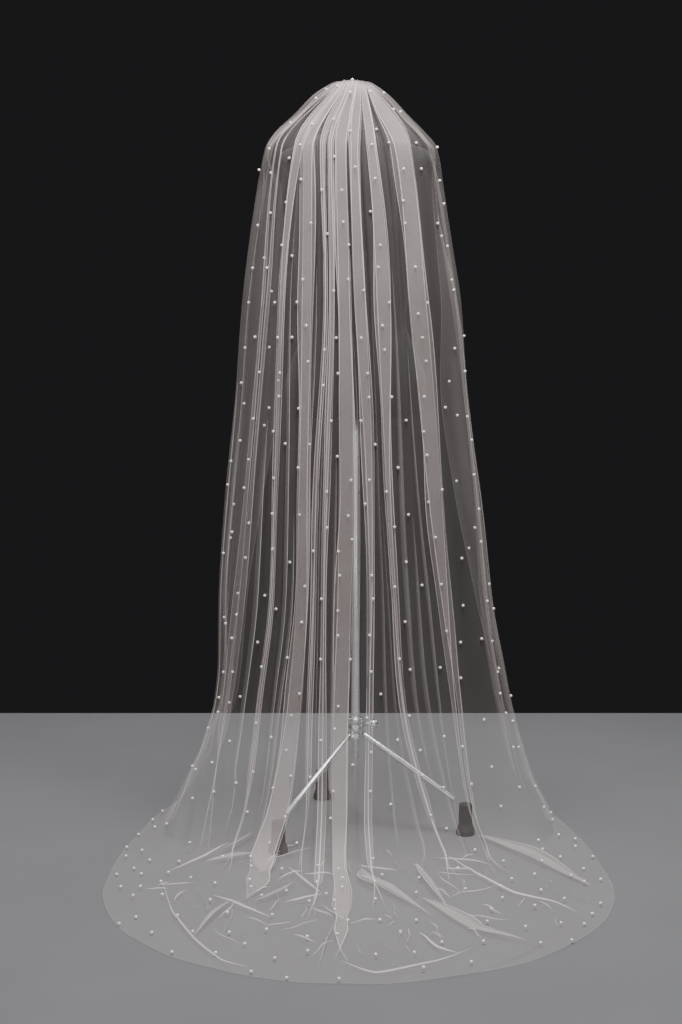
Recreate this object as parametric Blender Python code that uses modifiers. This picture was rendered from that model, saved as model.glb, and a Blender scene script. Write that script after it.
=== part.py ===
"""Long bridal veil of soft tulle on a limbless dress form with a tripod stand.

The cloth is one sheet, gathered over the neck of the form, which falls in long
folds over both shoulders and ends in a rounded train on the floor.  Its wall is
lofted through sections: each level row gives the outline at one height, and each
fold row gives where a fold lies on the outline and how wide it is there.

Metres, +Z up, -Y towards the train.  The tables count from the centre line of
the veil, and a placement empty moves everything to the middle of the footprint.
"""

import math
from collections import namedtuple

import bmesh
import bpy
from mathutils import Vector

# Placement of the whole model
COLLECTION_NAME = "veil_on_dress_form"
CENTRE_LINE_X = -0.010
CENTRE_LINE_Y = 0.359

# Cloth
WALL = 0.0011
SEAM_GAP = 0.0003
FOLD_SHARES = (0.0, 0.15, 0.25, 0.35, 0.65, 0.75, 0.85, 1.0)
STRETCH_STEPS = 2
EDGE_STEPS = 4
FOLD_RUN = 0.011
LYING_RUN = 0.034
FOLD_RUN_SHARE = 0.30
FADE_TRAVEL = 0.16
FLOOR_GAP = 0.0004
GATHER_WIDTH = 0.068
CROWN_SPREAD = 0.44

# Stand
POLE_X = 0.008
POLE_RADIUS = 0.0095
POLE_BOTTOM = 0.170
HUB_HEIGHT = 0.240
HUB_RADIUS = 0.0170
HUB_LENGTH = 0.052
KNOB_RADIUS = 0.0110
KNOB_REACH = 0.0420
LEG_RADIUS = 0.0065
LEG_REACH = 0.235
LEG_END_HEIGHT = 0.082
LEG_ANGLES = {"leg_right": -12.0, "leg_left": -132.0, "leg_front": 108.0}
FOOT_REACH = 0.262
FOOT_HEIGHT = 0.074
FOOT_BASE_RADIUS = 0.0220
FOOT_TOP_RADIUS = 0.0150
FOOT_SHOULDER_RADIUS = 0.0160
FOOT_SHOULDER_SHARE = 0.35
FOOT_FLANK_SHARE = 0.14
TURNED_EDGE = 0.002
TURNED_STEPS = 24
SMALL_TURNED_STEPS = 16
KNOB_RINGS = 9
KNOB_STEM_RADIUS = 0.0045
KNOB_FOOT_SHARE = 0.95
KNOB_RISE = 0.010

# Dress form
FORM_BOTTOM = 0.972
CAP_RADIUS = 0.0400
CAP_BOTTOM = 1.7115
CAP_TOP = 1.7225
CAP_EDGE = 0.003
CAP_SHIFT_SHARE = 0.5
FORM_SEGMENTS = 14

# Comb and the band that binds the gathers
COMB_WIDTH = 0.064
COMB_TEETH = 12
COMB_TOOTH_LENGTH = 0.030
COMB_THICKNESS = 0.0014
COMB_BAR_DEPTH = 0.006
BAND_RADIUS = 0.0024
BAND_DEPTH = 0.0060
BAND_LIFT = 0.0006
COMB_GAP = 0.0004

# One row for each level of the cloth, from the gathers down to the hem.
# travel: share of the length; height: of the outline; left, right: half widths;
# middle: y of the widest line; back, front: depths from it; wrap_left, wrap_right:
# how far round the free edges lie, in degrees from the middle of the back.
Level = namedtuple(
    "Level", "name travel height left right middle back front wrap_left wrap_right"
)
LEVELS = [
    Level("gathers", 0.000, 1.7290, 0.034, 0.034, 0.026, 0.004, 0.002, 96, 96),
    Level("top", 0.010, 1.7365, 0.037, 0.036, 0.012, 0.017, 0.006, 98, 98),
    Level("brow", 0.020, 1.7330, 0.043, 0.040, 0.006, 0.038, 0.014, 104, 104),
    Level("nape", 0.030, 1.7200, 0.057, 0.050, 0.002, 0.051, 0.026, 112, 108),
    Level("neck", 0.044, 1.6940, 0.090, 0.076, 0.000, 0.062, 0.042, 122, 110),
    Level("slope", 0.064, 1.6470, 0.134, 0.122, 0.000, 0.076, 0.058, 128, 112),
    Level("yoke", 0.082, 1.6050, 0.173, 0.166, 0.000, 0.088, 0.068, 130, 112),
    Level("shoulder", 0.095, 1.5780, 0.191, 0.185, 0.000, 0.096, 0.074, 131, 112),
    Level("blade", 0.125, 1.5050, 0.204, 0.196, 0.002, 0.111, 0.080, 132, 114),
    Level("back", 0.190, 1.3520, 0.228, 0.221, 0.002, 0.131, 0.090, 135, 118),
    Level("waist", 0.235, 1.2400, 0.242, 0.240, 0.000, 0.143, 0.100, 137, 121),
    Level("hip", 0.325, 1.0100, 0.260, 0.261, 0.000, 0.160, 0.115, 138, 127),
    Level("thigh", 0.415, 0.7790, 0.280, 0.290, 0.000, 0.177, 0.125, 131, 123),
    Level("knee", 0.505, 0.5450, 0.296, 0.317, 0.000, 0.192, 0.140, 123, 113),
    Level("calf", 0.560, 0.4000, 0.307, 0.350, 0.000, 0.204, 0.150, 119, 110),
    Level("shin", 0.600, 0.3000, 0.320, 0.374, 0.000, 0.215, 0.162, 117, 110),
    Level("ankle", 0.635, 0.2110, 0.350, 0.397, 0.000, 0.231, 0.180, 116, 110),
    Level("flare", 0.664, 0.1300, 0.388, 0.424, 0.000, 0.252, 0.200, 116, 110),
    Level("break", 0.688, 0.0660, 0.418, 0.456, 0.000, 0.281, 0.220, 116, 111),
    Level("touch", 0.706, 0.0250, 0.446, 0.474, 0.000, 0.318, 0.240, 117, 112),
    Level("floor", 0.726, 0.0042, 0.452, 0.479, -0.029, 0.335, 0.298, 118, 113),
    Level("hem", 1.000, 0.0014, 0.528, 0.550, -0.420, 0.570, 1.090, 125, 122),
]

# Levels between which the cloth is parted into its stretches
SHOULDER_TRAVEL = 0.095
TOUCH_TRAVEL = 0.706

# Sections that loft the train, and how far it fans out to the sides, in degrees
TRAIN_STEPS = 11
FAN_ANGLE = 12.0

# One row for each fold: the middle and the width of its band across the back, at
# each of the heights in FOLD_HEIGHTS.  turn: 1 folds to the right, -1 to the left.
# depth: half the space between its outer and inner layer.  train_angle: where it
# lies on the train, in degrees from the middle, and train_end: where it runs out.
FOLD_HEIGHTS = (1.578, 1.240, 0.860, 0.572, 0.350, 0.105, 0.025)
Fold = namedtuple("Fold", "name turn depth middles widths train_angle train_end")
FOLDS = [
    Fold("rim_left", 1, 0.0055,
         (-0.165, -0.196, -0.229, -0.252, -0.275, -0.335, -0.375),
         (0.004, 0.006, 0.007, 0.009, 0.011, 0.010, 0.004), -56, 0.84),
    Fold("side_left", -1, 0.0060,
         (-0.131, -0.158, -0.171, -0.180, -0.204, -0.236, -0.262),
         (0.012, 0.014, 0.008, 0.006, 0.006, 0.006, 0.004), -35, 0.84),
    Fold("wide_left", 1, 0.0074,
         (-0.106, -0.103, -0.109, -0.112, -0.124, -0.162, -0.190),
         (0.021, 0.030, 0.028, 0.032, 0.038, 0.047, 0.036), -22.5, 0.94),
    Fold("thin_left", 1, 0.0058,
         (-0.066, -0.0605, -0.079, -0.086, -0.090, -0.098, -0.110),
         (0.009, 0.006, 0.008, 0.006, 0.006, 0.007, 0.006), -13.5, 0.84),
    Fold("near_left", 1, 0.0058,
         (-0.0505, -0.0455, -0.057, -0.063, -0.062, -0.066, -0.070),
         (0.010, 0.012, 0.012, 0.008, 0.008, 0.009, 0.009), -8.5, 0.88),
    Fold("middle", 1, 0.0070,
         (-0.026, -0.0195, -0.0115, -0.0190, -0.0240, -0.0280, -0.0300),
         (0.027, 0.030, 0.044, 0.036, 0.040, 0.038, 0.030), -2.5, 0.965),
    Fold("near_right", 1, 0.0064,
         (0.0055, 0.0165, 0.036, 0.042, 0.040, 0.036, 0.040),
         (0.015, 0.028, 0.019, 0.012, 0.009, 0.016, 0.014), 5.5, 0.92),
    Fold("side_right", 1, 0.0064,
         (0.041, 0.068, 0.0785, 0.0966, 0.1176, 0.176, 0.208),
         (0.019, 0.034, 0.018, 0.012, 0.009, 0.008, 0.006), 25, 0.88),
    Fold("wide_right", -1, 0.0070,
         (0.096, 0.144, 0.1815, 0.210, 0.239, 0.272, 0.300),
         (0.027, 0.050, 0.045, 0.030, 0.014, 0.010, 0.006), 38, 0.86),
]
CROWN_HEIGHT = 1.737
CROWN_FOLD_WIDTH = 0.0042
CROWN_FOLD_DEPTH = 0.0036

# One row for each main ridge of the train: from and to, on the floor, counted from
# the centre line; height of its crest and half breadth.
Ridge = namedtuple("Ridge", "start end height breadth")
RIDGES = [
    Ridge((-0.330, -0.230), (-0.450, -0.330), 0.016, 0.020),
    Ridge((-0.245, -0.330), (-0.420, -0.560), 0.014, 0.022),
    Ridge((-0.335, -0.400), (-0.330, -0.860), 0.013, 0.024),
    Ridge((-0.120, -0.380), (-0.240, -0.640), 0.016, 0.022),
    Ridge((0.030, -0.330), (0.160, -0.700), 0.018, 0.020),
    Ridge((0.110, -0.300), (0.250, -0.560), 0.016, 0.020),
    Ridge((0.175, -0.290), (0.455, -0.640), 0.017, 0.022),
    Ridge((0.300, -0.240), (0.500, -0.450), 0.018, 0.022),
    Ridge((0.160, -0.600), (0.380, -0.800), 0.013, 0.022),
    Ridge((-0.060, -0.600), (-0.080, -0.900), 0.013, 0.022),
    Ridge((0.060, -0.860), (0.290, -0.820), 0.012, 0.022),
]

# Body of the dress form: one row for each ring, from the hips up to the neck
FormRing = namedtuple("FormRing", "height half_width back front")
FORM_RINGS = [
    FormRing(0.972, 0.148, 0.092, 0.086),
    FormRing(0.980, 0.156, 0.099, 0.092),
    FormRing(1.040, 0.166, 0.106, 0.098),
    FormRing(1.110, 0.146, 0.094, 0.088),
    FormRing(1.190, 0.116, 0.074, 0.078),
    FormRing(1.270, 0.126, 0.076, 0.092),
    FormRing(1.350, 0.146, 0.084, 0.120),
    FormRing(1.420, 0.142, 0.088, 0.106),
    FormRing(1.480, 0.138, 0.088, 0.084),
    FormRing(1.525, 0.160, 0.080, 0.068),
    FormRing(1.553, 0.177, 0.068, 0.056),
    FormRing(1.572, 0.168, 0.060, 0.046),
    FormRing(1.595, 0.116, 0.054, 0.040),
    FormRing(1.622, 0.066, 0.048, 0.038),
    FormRing(1.660, 0.049, 0.043, 0.039),
    FormRing(1.705, 0.045, 0.042, 0.040),
    FormRing(1.711, 0.043, 0.040, 0.038),
]

# Finishes: base colour (linear), roughness, metallic
Finish = namedtuple("Finish", "colour roughness metallic")
FINISHES = {
    "tulle": Finish((0.86, 0.84, 0.82), 0.75, 0.0),
    "satin_binding": Finish((0.84, 0.82, 0.79), 0.45, 0.0),
    "clear_comb": Finish((0.80, 0.80, 0.78), 0.25, 0.0),
    "black_jersey": Finish((0.012, 0.012, 0.013), 0.85, 0.0),
    "black_cap": Finish((0.015, 0.015, 0.016), 0.45, 0.0),
    "chrome": Finish((0.66, 0.66, 0.67), 0.12, 1.0),
    "black_rubber": Finish((0.014, 0.014, 0.014), 0.80, 0.0),
}


def clear_scene():
    """Remove what the opened file holds."""
    for item in list(bpy.data.objects):
        bpy.data.objects.remove(item, do_unlink=True)


def make_materials():
    """Return one Principled material for each finish."""
    made = {}
    for name, finish in FINISHES.items():
        material = bpy.data.materials.new(name)
        material.use_nodes = True
        shader = material.node_tree.nodes["Principled BSDF"]
        shader.inputs["Base Color"].default_value = (*finish.colour, 1.0)
        shader.inputs["Roughness"].default_value = finish.roughness
        shader.inputs["Metallic"].default_value = finish.metallic
        made[name] = material
    return made


def smoothstep(value):
    """Ease a share from 0 to 1."""
    value = min(max(value, 0.0), 1.0)
    return value * value * (3.0 - 2.0 * value)


def monotone(keys, values, at):
    """Read a smooth curve through (keys, values) that never overshoots them."""
    last = len(keys) - 1
    if at <= keys[0]:
        return values[0]
    if at >= keys[last]:
        return values[last]
    steps = [keys[i + 1] - keys[i] for i in range(last)]
    slopes = [(values[i + 1] - values[i]) / steps[i] for i in range(last)]
    tangents = [slopes[0]]
    for i in range(1, last):
        before, after = slopes[i - 1], slopes[i]
        if before * after <= 0.0:
            tangents.append(0.0)
        else:
            weight_a = 2.0 * steps[i] + steps[i - 1]
            weight_b = steps[i] + 2.0 * steps[i - 1]
            tangents.append((weight_a + weight_b) / (weight_a / before + weight_b / after))
    tangents.append(slopes[-1])
    place = max(i for i in range(last) if keys[i] <= at)
    step = steps[place]
    t = (at - keys[place]) / step
    return (
        values[place] * (2 * t**3 - 3 * t**2 + 1)
        + tangents[place] * step * (t**3 - 2 * t**2 + t)
        + values[place + 1] * (3 * t**2 - 2 * t**3)
        + tangents[place + 1] * step * (t**3 - t**2)
    )


LEVEL_TRAVELS = [row.travel for row in LEVELS]


def level_value(column, travel):
    """Read one column of LEVELS at any travel."""
    return monotone(LEVEL_TRAVELS, [getattr(row, column) for row in LEVELS], travel)


class Outline:
    """The outline of the cloth, without its folds, at one travel."""

    def __init__(self, travel):
        self.travel = travel
        self.height = level_value("height", travel)
        self.left = level_value("left", travel)
        self.right = level_value("right", travel)
        self.middle = level_value("middle", travel)
        self.back = level_value("back", travel)
        self.front = level_value("front", travel)
        self.wrap_left = math.radians(level_value("wrap_left", travel))
        self.wrap_right = math.radians(level_value("wrap_right", travel))

    def half_width(self, angle):
        """Blend the left and the right half width across the middle."""
        share = 0.5 + 0.5 * math.sin(max(-math.pi / 2, min(math.pi / 2, angle)))
        return self.left + (self.right - self.left) * share

    def fanned(self, angle):
        """Spread an angle of the touching line out to the hem."""
        touch = Outline(TOUCH_TRAVEL)
        start, end = touch.wrap_left, self.wrap_left
        if angle > 0.0:
            start, end = touch.wrap_right, self.wrap_right
        share = min(abs(angle) / start, 1.0)
        spread = math.radians(FAN_ANGLE) * 6.75 * share * share * (1.0 - share)
        return math.copysign(share * end + spread, angle)

    def point(self, angle):
        """Return the point at an angle from the middle of the back."""
        if self.travel > TOUCH_TRAVEL:
            share = (self.travel - TOUCH_TRAVEL) / (1.0 - TOUCH_TRAVEL)
            hem = Outline(1.0)
            start = Outline(TOUCH_TRAVEL).ring_point(angle)
            place = start.lerp(hem.ring_point(hem.fanned(angle)), share)
            place.z = self.height
            return place
        return self.ring_point(angle)

    def ring_point(self, angle):
        """Return the point at an angle on this outline's own oval."""
        depth = self.back if math.cos(angle) > 0.0 else self.front
        return Vector(
            (
                self.half_width(angle) * math.sin(angle),
                self.middle - depth * math.cos(angle),
                self.height,
            )
        )

    def angle_at(self, across):
        """Return the angle whose point lies this far across the back."""
        half = self.right if across > 0.0 else self.left
        return math.asin(max(-0.97, min(0.97, across / half)))

    def angle_step(self, angle, length):
        """Turn a length across the back into an angle."""
        return length / (self.half_width(angle) * max(0.35, math.cos(angle)))


def outline_normal(travel, angle):
    """Return the outward normal of the unfolded surface."""
    nudge_travel = 0.004
    nudge_angle = 0.02
    low = max(0.0, travel - nudge_travel)
    high = min(1.0, travel + nudge_travel)
    along = Outline(high).point(angle) - Outline(low).point(angle)
    here = Outline(travel)
    across = here.point(angle + nudge_angle) - here.point(angle - nudge_angle)
    normal = along.cross(across)
    if normal.length < 1e-12:
        return Vector((0.0, 0.0, 1.0))
    return normal.normalized()


def fold_state(fold, order, outline):
    """Return the middle angle, half width angle, overlap share and depth of a fold."""
    travel = outline.travel
    spread = GATHER_WIDTH * CROWN_SPREAD
    crown_middle = -spread + 2.0 * spread * (order + 0.5) / len(FOLDS)
    keys = [-CROWN_HEIGHT] + [-height for height in FOLD_HEIGHTS]
    at = -outline.height if travel > LEVELS[1].travel else -CROWN_HEIGHT
    middle = outline.angle_at(monotone(keys, [crown_middle, *fold.middles], at))
    width = monotone(keys, [CROWN_FOLD_WIDTH, *fold.widths], at)
    opened = smoothstep((travel - 0.02) / 0.09)
    depth = CROWN_FOLD_DEPTH + (fold.depth - CROWN_FOLD_DEPTH) * opened
    if travel > TOUCH_TRAVEL:
        share = smoothstep((travel - TOUCH_TRAVEL) / 0.09)
        middle += (math.radians(fold.train_angle) - middle) * share
    overlap = 1.0 - smoothstep((travel - (fold.train_end - FADE_TRAVEL)) / (0.6 * FADE_TRAVEL))
    depth *= 1.0 - smoothstep((travel - (fold.train_end - 0.4 * FADE_TRAVEL)) / (0.4 * FADE_TRAVEL))
    half = outline.angle_step(middle, width / 2.0)
    return middle, half, overlap, depth


def stretch_path(start, end, count):
    """List the points between two folds, each an angle, a fold level and a lift."""
    path = []
    for step in range(1, count):
        share = step / count
        ease = smoothstep(share)
        angle = start[0] + (end[0] - start[0]) * share
        level = start[1] + (end[1] - start[1]) * ease
        lift = start[2] + (end[2] - start[2]) * ease
        path.append((angle, level, lift))
    return path


def section(travel):
    """Return the points of the cloth's section at one travel, left edge first."""
    outline = Outline(travel)
    states = [fold_state(fold, order, outline) for order, fold in enumerate(FOLDS)]
    ends = outline if travel <= TOUCH_TRAVEL else Outline(TOUCH_TRAVEL)
    left_end, right_end = -ends.wrap_left, ends.wrap_right
    bounds = [left_end] + [state[0] for state in states] + [right_end]
    path = [(left_end, 0.0, 0.0)]
    for order, (fold, state) in enumerate(zip(FOLDS, states)):
        middle, half, overlap, depth = state
        room = min(middle - bounds[order], bounds[order + 2] - middle)
        run_length = FOLD_RUN + (LYING_RUN - FOLD_RUN) * (1.0 - overlap)
        run = min(outline.angle_step(middle, run_length), FOLD_RUN_SHARE * room)
        swing = (half + run / 2.0) * overlap
        band = []
        for share in FOLD_SHARES:
            angle = middle + run * (2.0 * share - 1.0) + swing * math.sin(2.0 * math.pi * share)
            band.append((angle, fold.turn * depth * math.cos(math.pi * share), depth))
        path += stretch_path(path[-1], band[0], STRETCH_STEPS if order else EDGE_STEPS)
        path += band
    edge = (right_end, 0.0, 0.0)
    path += stretch_path(path[-1], edge, EDGE_STEPS)
    path.append(edge)
    return [place_point(outline, *entry) for entry in path]


def ridge_lift(x, y):
    """Return how far the ridges of the train lift the cloth at a place."""
    lift = 0.0
    here = Vector((x, y))
    for ridge in RIDGES:
        start = Vector(ridge.start)
        run = Vector(ridge.end) - start
        share = (here - start).dot(run) / run.length_squared
        nearest = start + run * min(1.0, max(0.0, share))
        taper = math.sin(math.pi * min(1.0, max(0.0, 0.08 + 0.84 * share)))
        away = (here - nearest).length / ridge.breadth
        lift = max(lift, ridge.height * taper * math.exp(-away * away))
    return lift


def place_point(outline, angle, level, lift):
    """Move a point of the outline out by its fold level, and up where it lies."""
    lying = smoothstep((outline.travel - 0.69) / 0.05)
    offset = level + lying * lift
    point = outline.point(angle) + outline_normal(outline.travel, angle) * offset
    if lying > 0.0:
        point.z += lying * ridge_lift(point.x, point.y)
    point.z = max(point.z, WALL / 2.0 + FLOOR_GAP)
    return point


def sheet_travels():
    """List the travels of all sections."""
    hanging = [value for value in LEVEL_TRAVELS if value <= TOUCH_TRAVEL]
    step = (1.0 - TOUCH_TRAVEL) / TRAIN_STEPS
    return hanging + [TOUCH_TRAVEL + step * count for count in range(1, TRAIN_STEPS + 1)]


def sheet_normals(rows):
    """Return the normal of the folded sheet at each point of its sections."""
    normals = []
    for row, points in enumerate(rows):
        above = rows[max(row - 1, 0)]
        below = rows[min(row + 1, len(rows) - 1)]
        line = []
        for column in range(len(points)):
            here = points[column]
            across = Vector((0.0, 0.0, 0.0))
            if column > 0:
                across += (here - points[column - 1]).normalized()
            if column < len(points) - 1:
                across += (points[column + 1] - here).normalized()
            line.append((below[column] - above[column]).cross(across).normalized())
        normals.append(line)
    return normals


def pull_in(edge, inner, distance):
    """Move each edge point towards its inner neighbour by a distance."""
    moved = []
    for point, neighbour in zip(edge, inner):
        step = neighbour - point
        moved.append(point + step.normalized() * min(distance, step.length / 2.0))
    return moved


def split_quad(rows, row, column, corner, width):
    """Split one cell along its shorter diagonal, the same way on both skins."""
    falling = (rows[row][column] - rows[row + 1][column + 1]).length
    rising = (rows[row + 1][column] - rows[row][column + 1]).length
    below, across, beyond = corner + width, corner + width + 1, corner + 1
    if falling <= rising:
        return [(corner, below, across), (corner, across, beyond)]
    return [(corner, below, beyond), (below, across, beyond)]


class Sheet:
    """The folded sheet as a grid of points and normals, shared by its stretches."""

    def __init__(self):
        self.travels = sheet_travels()
        self.rows = [section(travel) for travel in self.travels]
        self.normals = sheet_normals(self.rows)
        self.last_row = len(self.rows) - 1
        self.last_column = len(self.rows[0]) - 1

    def row_at(self, travel):
        """Return the row whose travel is nearest."""
        return min(range(len(self.travels)), key=lambda row: abs(self.travels[row] - travel))

    def wall(self, name, top, bottom, left, right):
        """Build the closed wall of one stretch, half a seam gap short where it is parted."""
        rows = [list(self.rows[row][left : right + 1]) for row in range(top, bottom + 1)]
        normals = [self.normals[row][left : right + 1] for row in range(top, bottom + 1)]
        half_gap = SEAM_GAP / 2.0
        if top > 0:
            rows[0] = pull_in(rows[0], rows[1], half_gap)
        if bottom < self.last_row:
            rows[-1] = pull_in(rows[-1], rows[-2], half_gap)
        columns = list(zip(*rows))
        if left > 0:
            columns[0] = pull_in(columns[0], columns[1], half_gap)
        if right < self.last_column:
            columns[-1] = pull_in(columns[-1], columns[-2], half_gap)
        rows = list(zip(*columns))
        width = len(rows[0])
        count = width * len(rows)
        half_wall = WALL / 2.0
        points = []
        for side in (half_wall, -half_wall):
            for row, line in zip(rows, normals):
                points += [tuple(point + normal * side) for point, normal in zip(row, line)]
        faces = []
        for row in range(len(rows) - 1):
            for column in range(width - 1):
                corner = row * width + column
                for triangle in split_quad(rows, row, column, corner, width):
                    faces.append(triangle)
                    faces.append(tuple(count + index for index in reversed(triangle)))
        rim = [column for column in range(width)]
        rim += [row * width + width - 1 for row in range(1, len(rows))]
        rim += [(len(rows) - 1) * width + column for column in range(width - 2, -1, -1)]
        rim += [row * width for row in range(len(rows) - 2, 0, -1)]
        for here, beyond in zip(rim, rim[1:] + rim[:1]):
            faces.append((here, beyond, count + beyond, count + here))
        mesh = bpy.data.meshes.new(name)
        mesh.from_pydata(points, [], faces)
        mesh.update()
        return mesh


def add_object(name, mesh, material, collection, parent):
    """Link an object with one material under the placement empty."""
    item = bpy.data.objects.new(name, mesh)
    item.data.materials.append(material)
    item.parent = parent
    collection.objects.link(item)
    return item


def turned(name, profile, material, collection, parent, steps=TURNED_STEPS):
    """Turn a profile of (radius, height) points, top to bottom, about Z."""
    mesh = bpy.data.meshes.new(name)
    points = [(radius, 0.0, height) for radius, height in profile]
    edges = [(i, i + 1) for i in range(len(points) - 1)]
    mesh.from_pydata(points, edges, [])
    item = add_object(name, mesh, material, collection, parent)
    spin = item.modifiers.new("turn", "SCREW")
    spin.steps = steps
    spin.render_steps = steps
    spin.use_merge_vertices = True
    spin.merge_threshold = 0.0001
    spin.use_smooth_shade = True
    return item


def tube(name, start, end, radius, material, collection, parent):
    """Lay a straight tube between two points."""
    curve = bpy.data.curves.new(name, "CURVE")
    curve.dimensions = "3D"
    curve.bevel_depth = radius
    curve.bevel_resolution = 4
    curve.use_fill_caps = True
    line = curve.splines.new("POLY")
    line.points.add(1)
    line.points[0].co = (*start, 1.0)
    line.points[1].co = (*end, 1.0)
    return add_object(name, curve, material, collection, parent)


def around_pole(reach, angle, height):
    """Return a point at a reach and an angle in degrees from the pole's axis."""
    turn = math.radians(angle)
    return Vector((POLE_X + reach * math.cos(turn), reach * math.sin(turn), height))


def build_cloth(materials, collection, parent):
    """Add the stretches of the veil, from the gathered crown to the train."""
    sheet = Sheet()
    per_fold = STRETCH_STEPS - 1 + len(FOLD_SHARES)
    first_fold = EDGE_STEPS
    shoulder = sheet.row_at(SHOULDER_TRAVEL)
    touch = sheet.row_at(TOUCH_TRAVEL)
    left_seam = first_fold + 2 * per_fold - 1
    right_seam = first_fold + 7 * per_fold - 1
    right_edge = sheet.last_column
    stretches = {
        "veil_crown": (0, shoulder, 0, right_edge),
        "veil_fall_left": (shoulder, touch, 0, left_seam),
        "veil_fall_back": (shoulder, touch, left_seam, right_seam),
        "veil_fall_right": (shoulder, touch, right_seam, right_edge),
        "veil_train": (touch, sheet.last_row, 0, right_edge),
    }
    for name, span in stretches.items():
        add_object(name, sheet.wall(name, *span), materials["tulle"], collection, parent)


def build_fastening(materials, collection, parent):
    """Add the band that binds the gathers and the comb under them."""
    first = LEVELS[0]
    band_y = first.middle + first.front + BAND_RADIUS + BAND_DEPTH
    half = GATHER_WIDTH / 2.0
    height = CAP_TOP + BAND_RADIUS + BAND_LIFT
    tube("gather_band", (-half, band_y, height), (half, band_y, height), BAND_RADIUS,
         materials["satin_binding"], collection, parent)
    mesh = bpy.data.meshes.new("comb")
    shape = bmesh.new()
    bar_front = band_y - BAND_RADIUS - COMB_GAP
    pitch = COMB_WIDTH / COMB_TEETH
    slot = pitch * 0.5
    outline = [(-COMB_WIDTH / 2.0, bar_front)]
    tooth_root = bar_front - COMB_BAR_DEPTH
    tooth_tip = tooth_root - COMB_TOOTH_LENGTH
    for tooth in range(COMB_TEETH):
        left = -COMB_WIDTH / 2.0 + tooth * pitch
        inset = slot / 2.0 if tooth else 0.0
        outset = slot / 2.0 if tooth < COMB_TEETH - 1 else 0.0
        outline.append((left + inset, tooth_root))
        outline.append((left + inset, tooth_tip))
        outline.append((left + pitch - outset, tooth_tip))
        outline.append((left + pitch - outset, tooth_root))
    outline.append((COMB_WIDTH / 2.0, bar_front))
    low = CAP_TOP + SEAM_GAP
    corners = [shape.verts.new((x, y, low)) for x, y in outline]
    face = shape.faces.new(corners)
    grown = bmesh.ops.extrude_face_region(shape, geom=[face])
    lifted = [part for part in grown["geom"] if isinstance(part, bmesh.types.BMVert)]
    bmesh.ops.translate(shape, verts=lifted, vec=(0.0, 0.0, COMB_THICKNESS))
    bmesh.ops.recalc_face_normals(shape, faces=shape.faces)
    shape.to_mesh(mesh)
    shape.free()
    add_object("comb", mesh, materials["clear_comb"], collection, parent)


def build_dress_form(materials, collection, parent):
    """Add the padded torso, from hip to neck, and the cap that closes its neck."""
    points = []
    for ring in FORM_RINGS:
        for step in range(FORM_SEGMENTS):
            turn = 2.0 * math.pi * step / FORM_SEGMENTS
            depth = ring.front if math.sin(turn) > 0.0 else ring.back
            points.append((ring.half_width * math.cos(turn), depth * math.sin(turn), ring.height))
    faces = [tuple(reversed(range(FORM_SEGMENTS)))]
    for row in range(len(FORM_RINGS) - 1):
        for step in range(FORM_SEGMENTS):
            low = row * FORM_SEGMENTS
            beside = (step + 1) % FORM_SEGMENTS
            faces.append((low + step, low + beside,
                          low + FORM_SEGMENTS + beside, low + FORM_SEGMENTS + step))
    top = (len(FORM_RINGS) - 1) * FORM_SEGMENTS
    faces.append(tuple(range(top, top + FORM_SEGMENTS)))
    mesh = bpy.data.meshes.new("dress_form")
    mesh.from_pydata(points, [], faces)
    for edge in mesh.edges:
        low, high = edge.vertices
        if max(low, high) < FORM_SEGMENTS or min(low, high) >= top:
            edge_crease(mesh, edge.index, 1.0)
    mesh.shade_smooth()
    form = add_object("dress_form", mesh, materials["black_jersey"], collection, parent)
    form.location.x = POLE_X
    soften = form.modifiers.new("soften", "SUBSURF")
    soften.levels = 1
    soften.render_levels = 1
    cap = turned(
        "neck_cap",
        [
            (0.0, CAP_TOP),
            (CAP_RADIUS - CAP_EDGE, CAP_TOP),
            (CAP_RADIUS, CAP_TOP - CAP_EDGE),
            (CAP_RADIUS, CAP_BOTTOM + CAP_EDGE),
            (CAP_RADIUS - CAP_EDGE, CAP_BOTTOM),
            (0.0, CAP_BOTTOM),
        ],
        materials["black_cap"], collection, parent,
    )
    cap.location.x = POLE_X * CAP_SHIFT_SHARE


def edge_crease(mesh, index, value):
    """Keep one edge sharp under subdivision."""
    layer = mesh.attributes.get("crease_edge")
    if layer is None:
        layer = mesh.attributes.new("crease_edge", "FLOAT", "EDGE")
    layer.data[index].value = value


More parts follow.
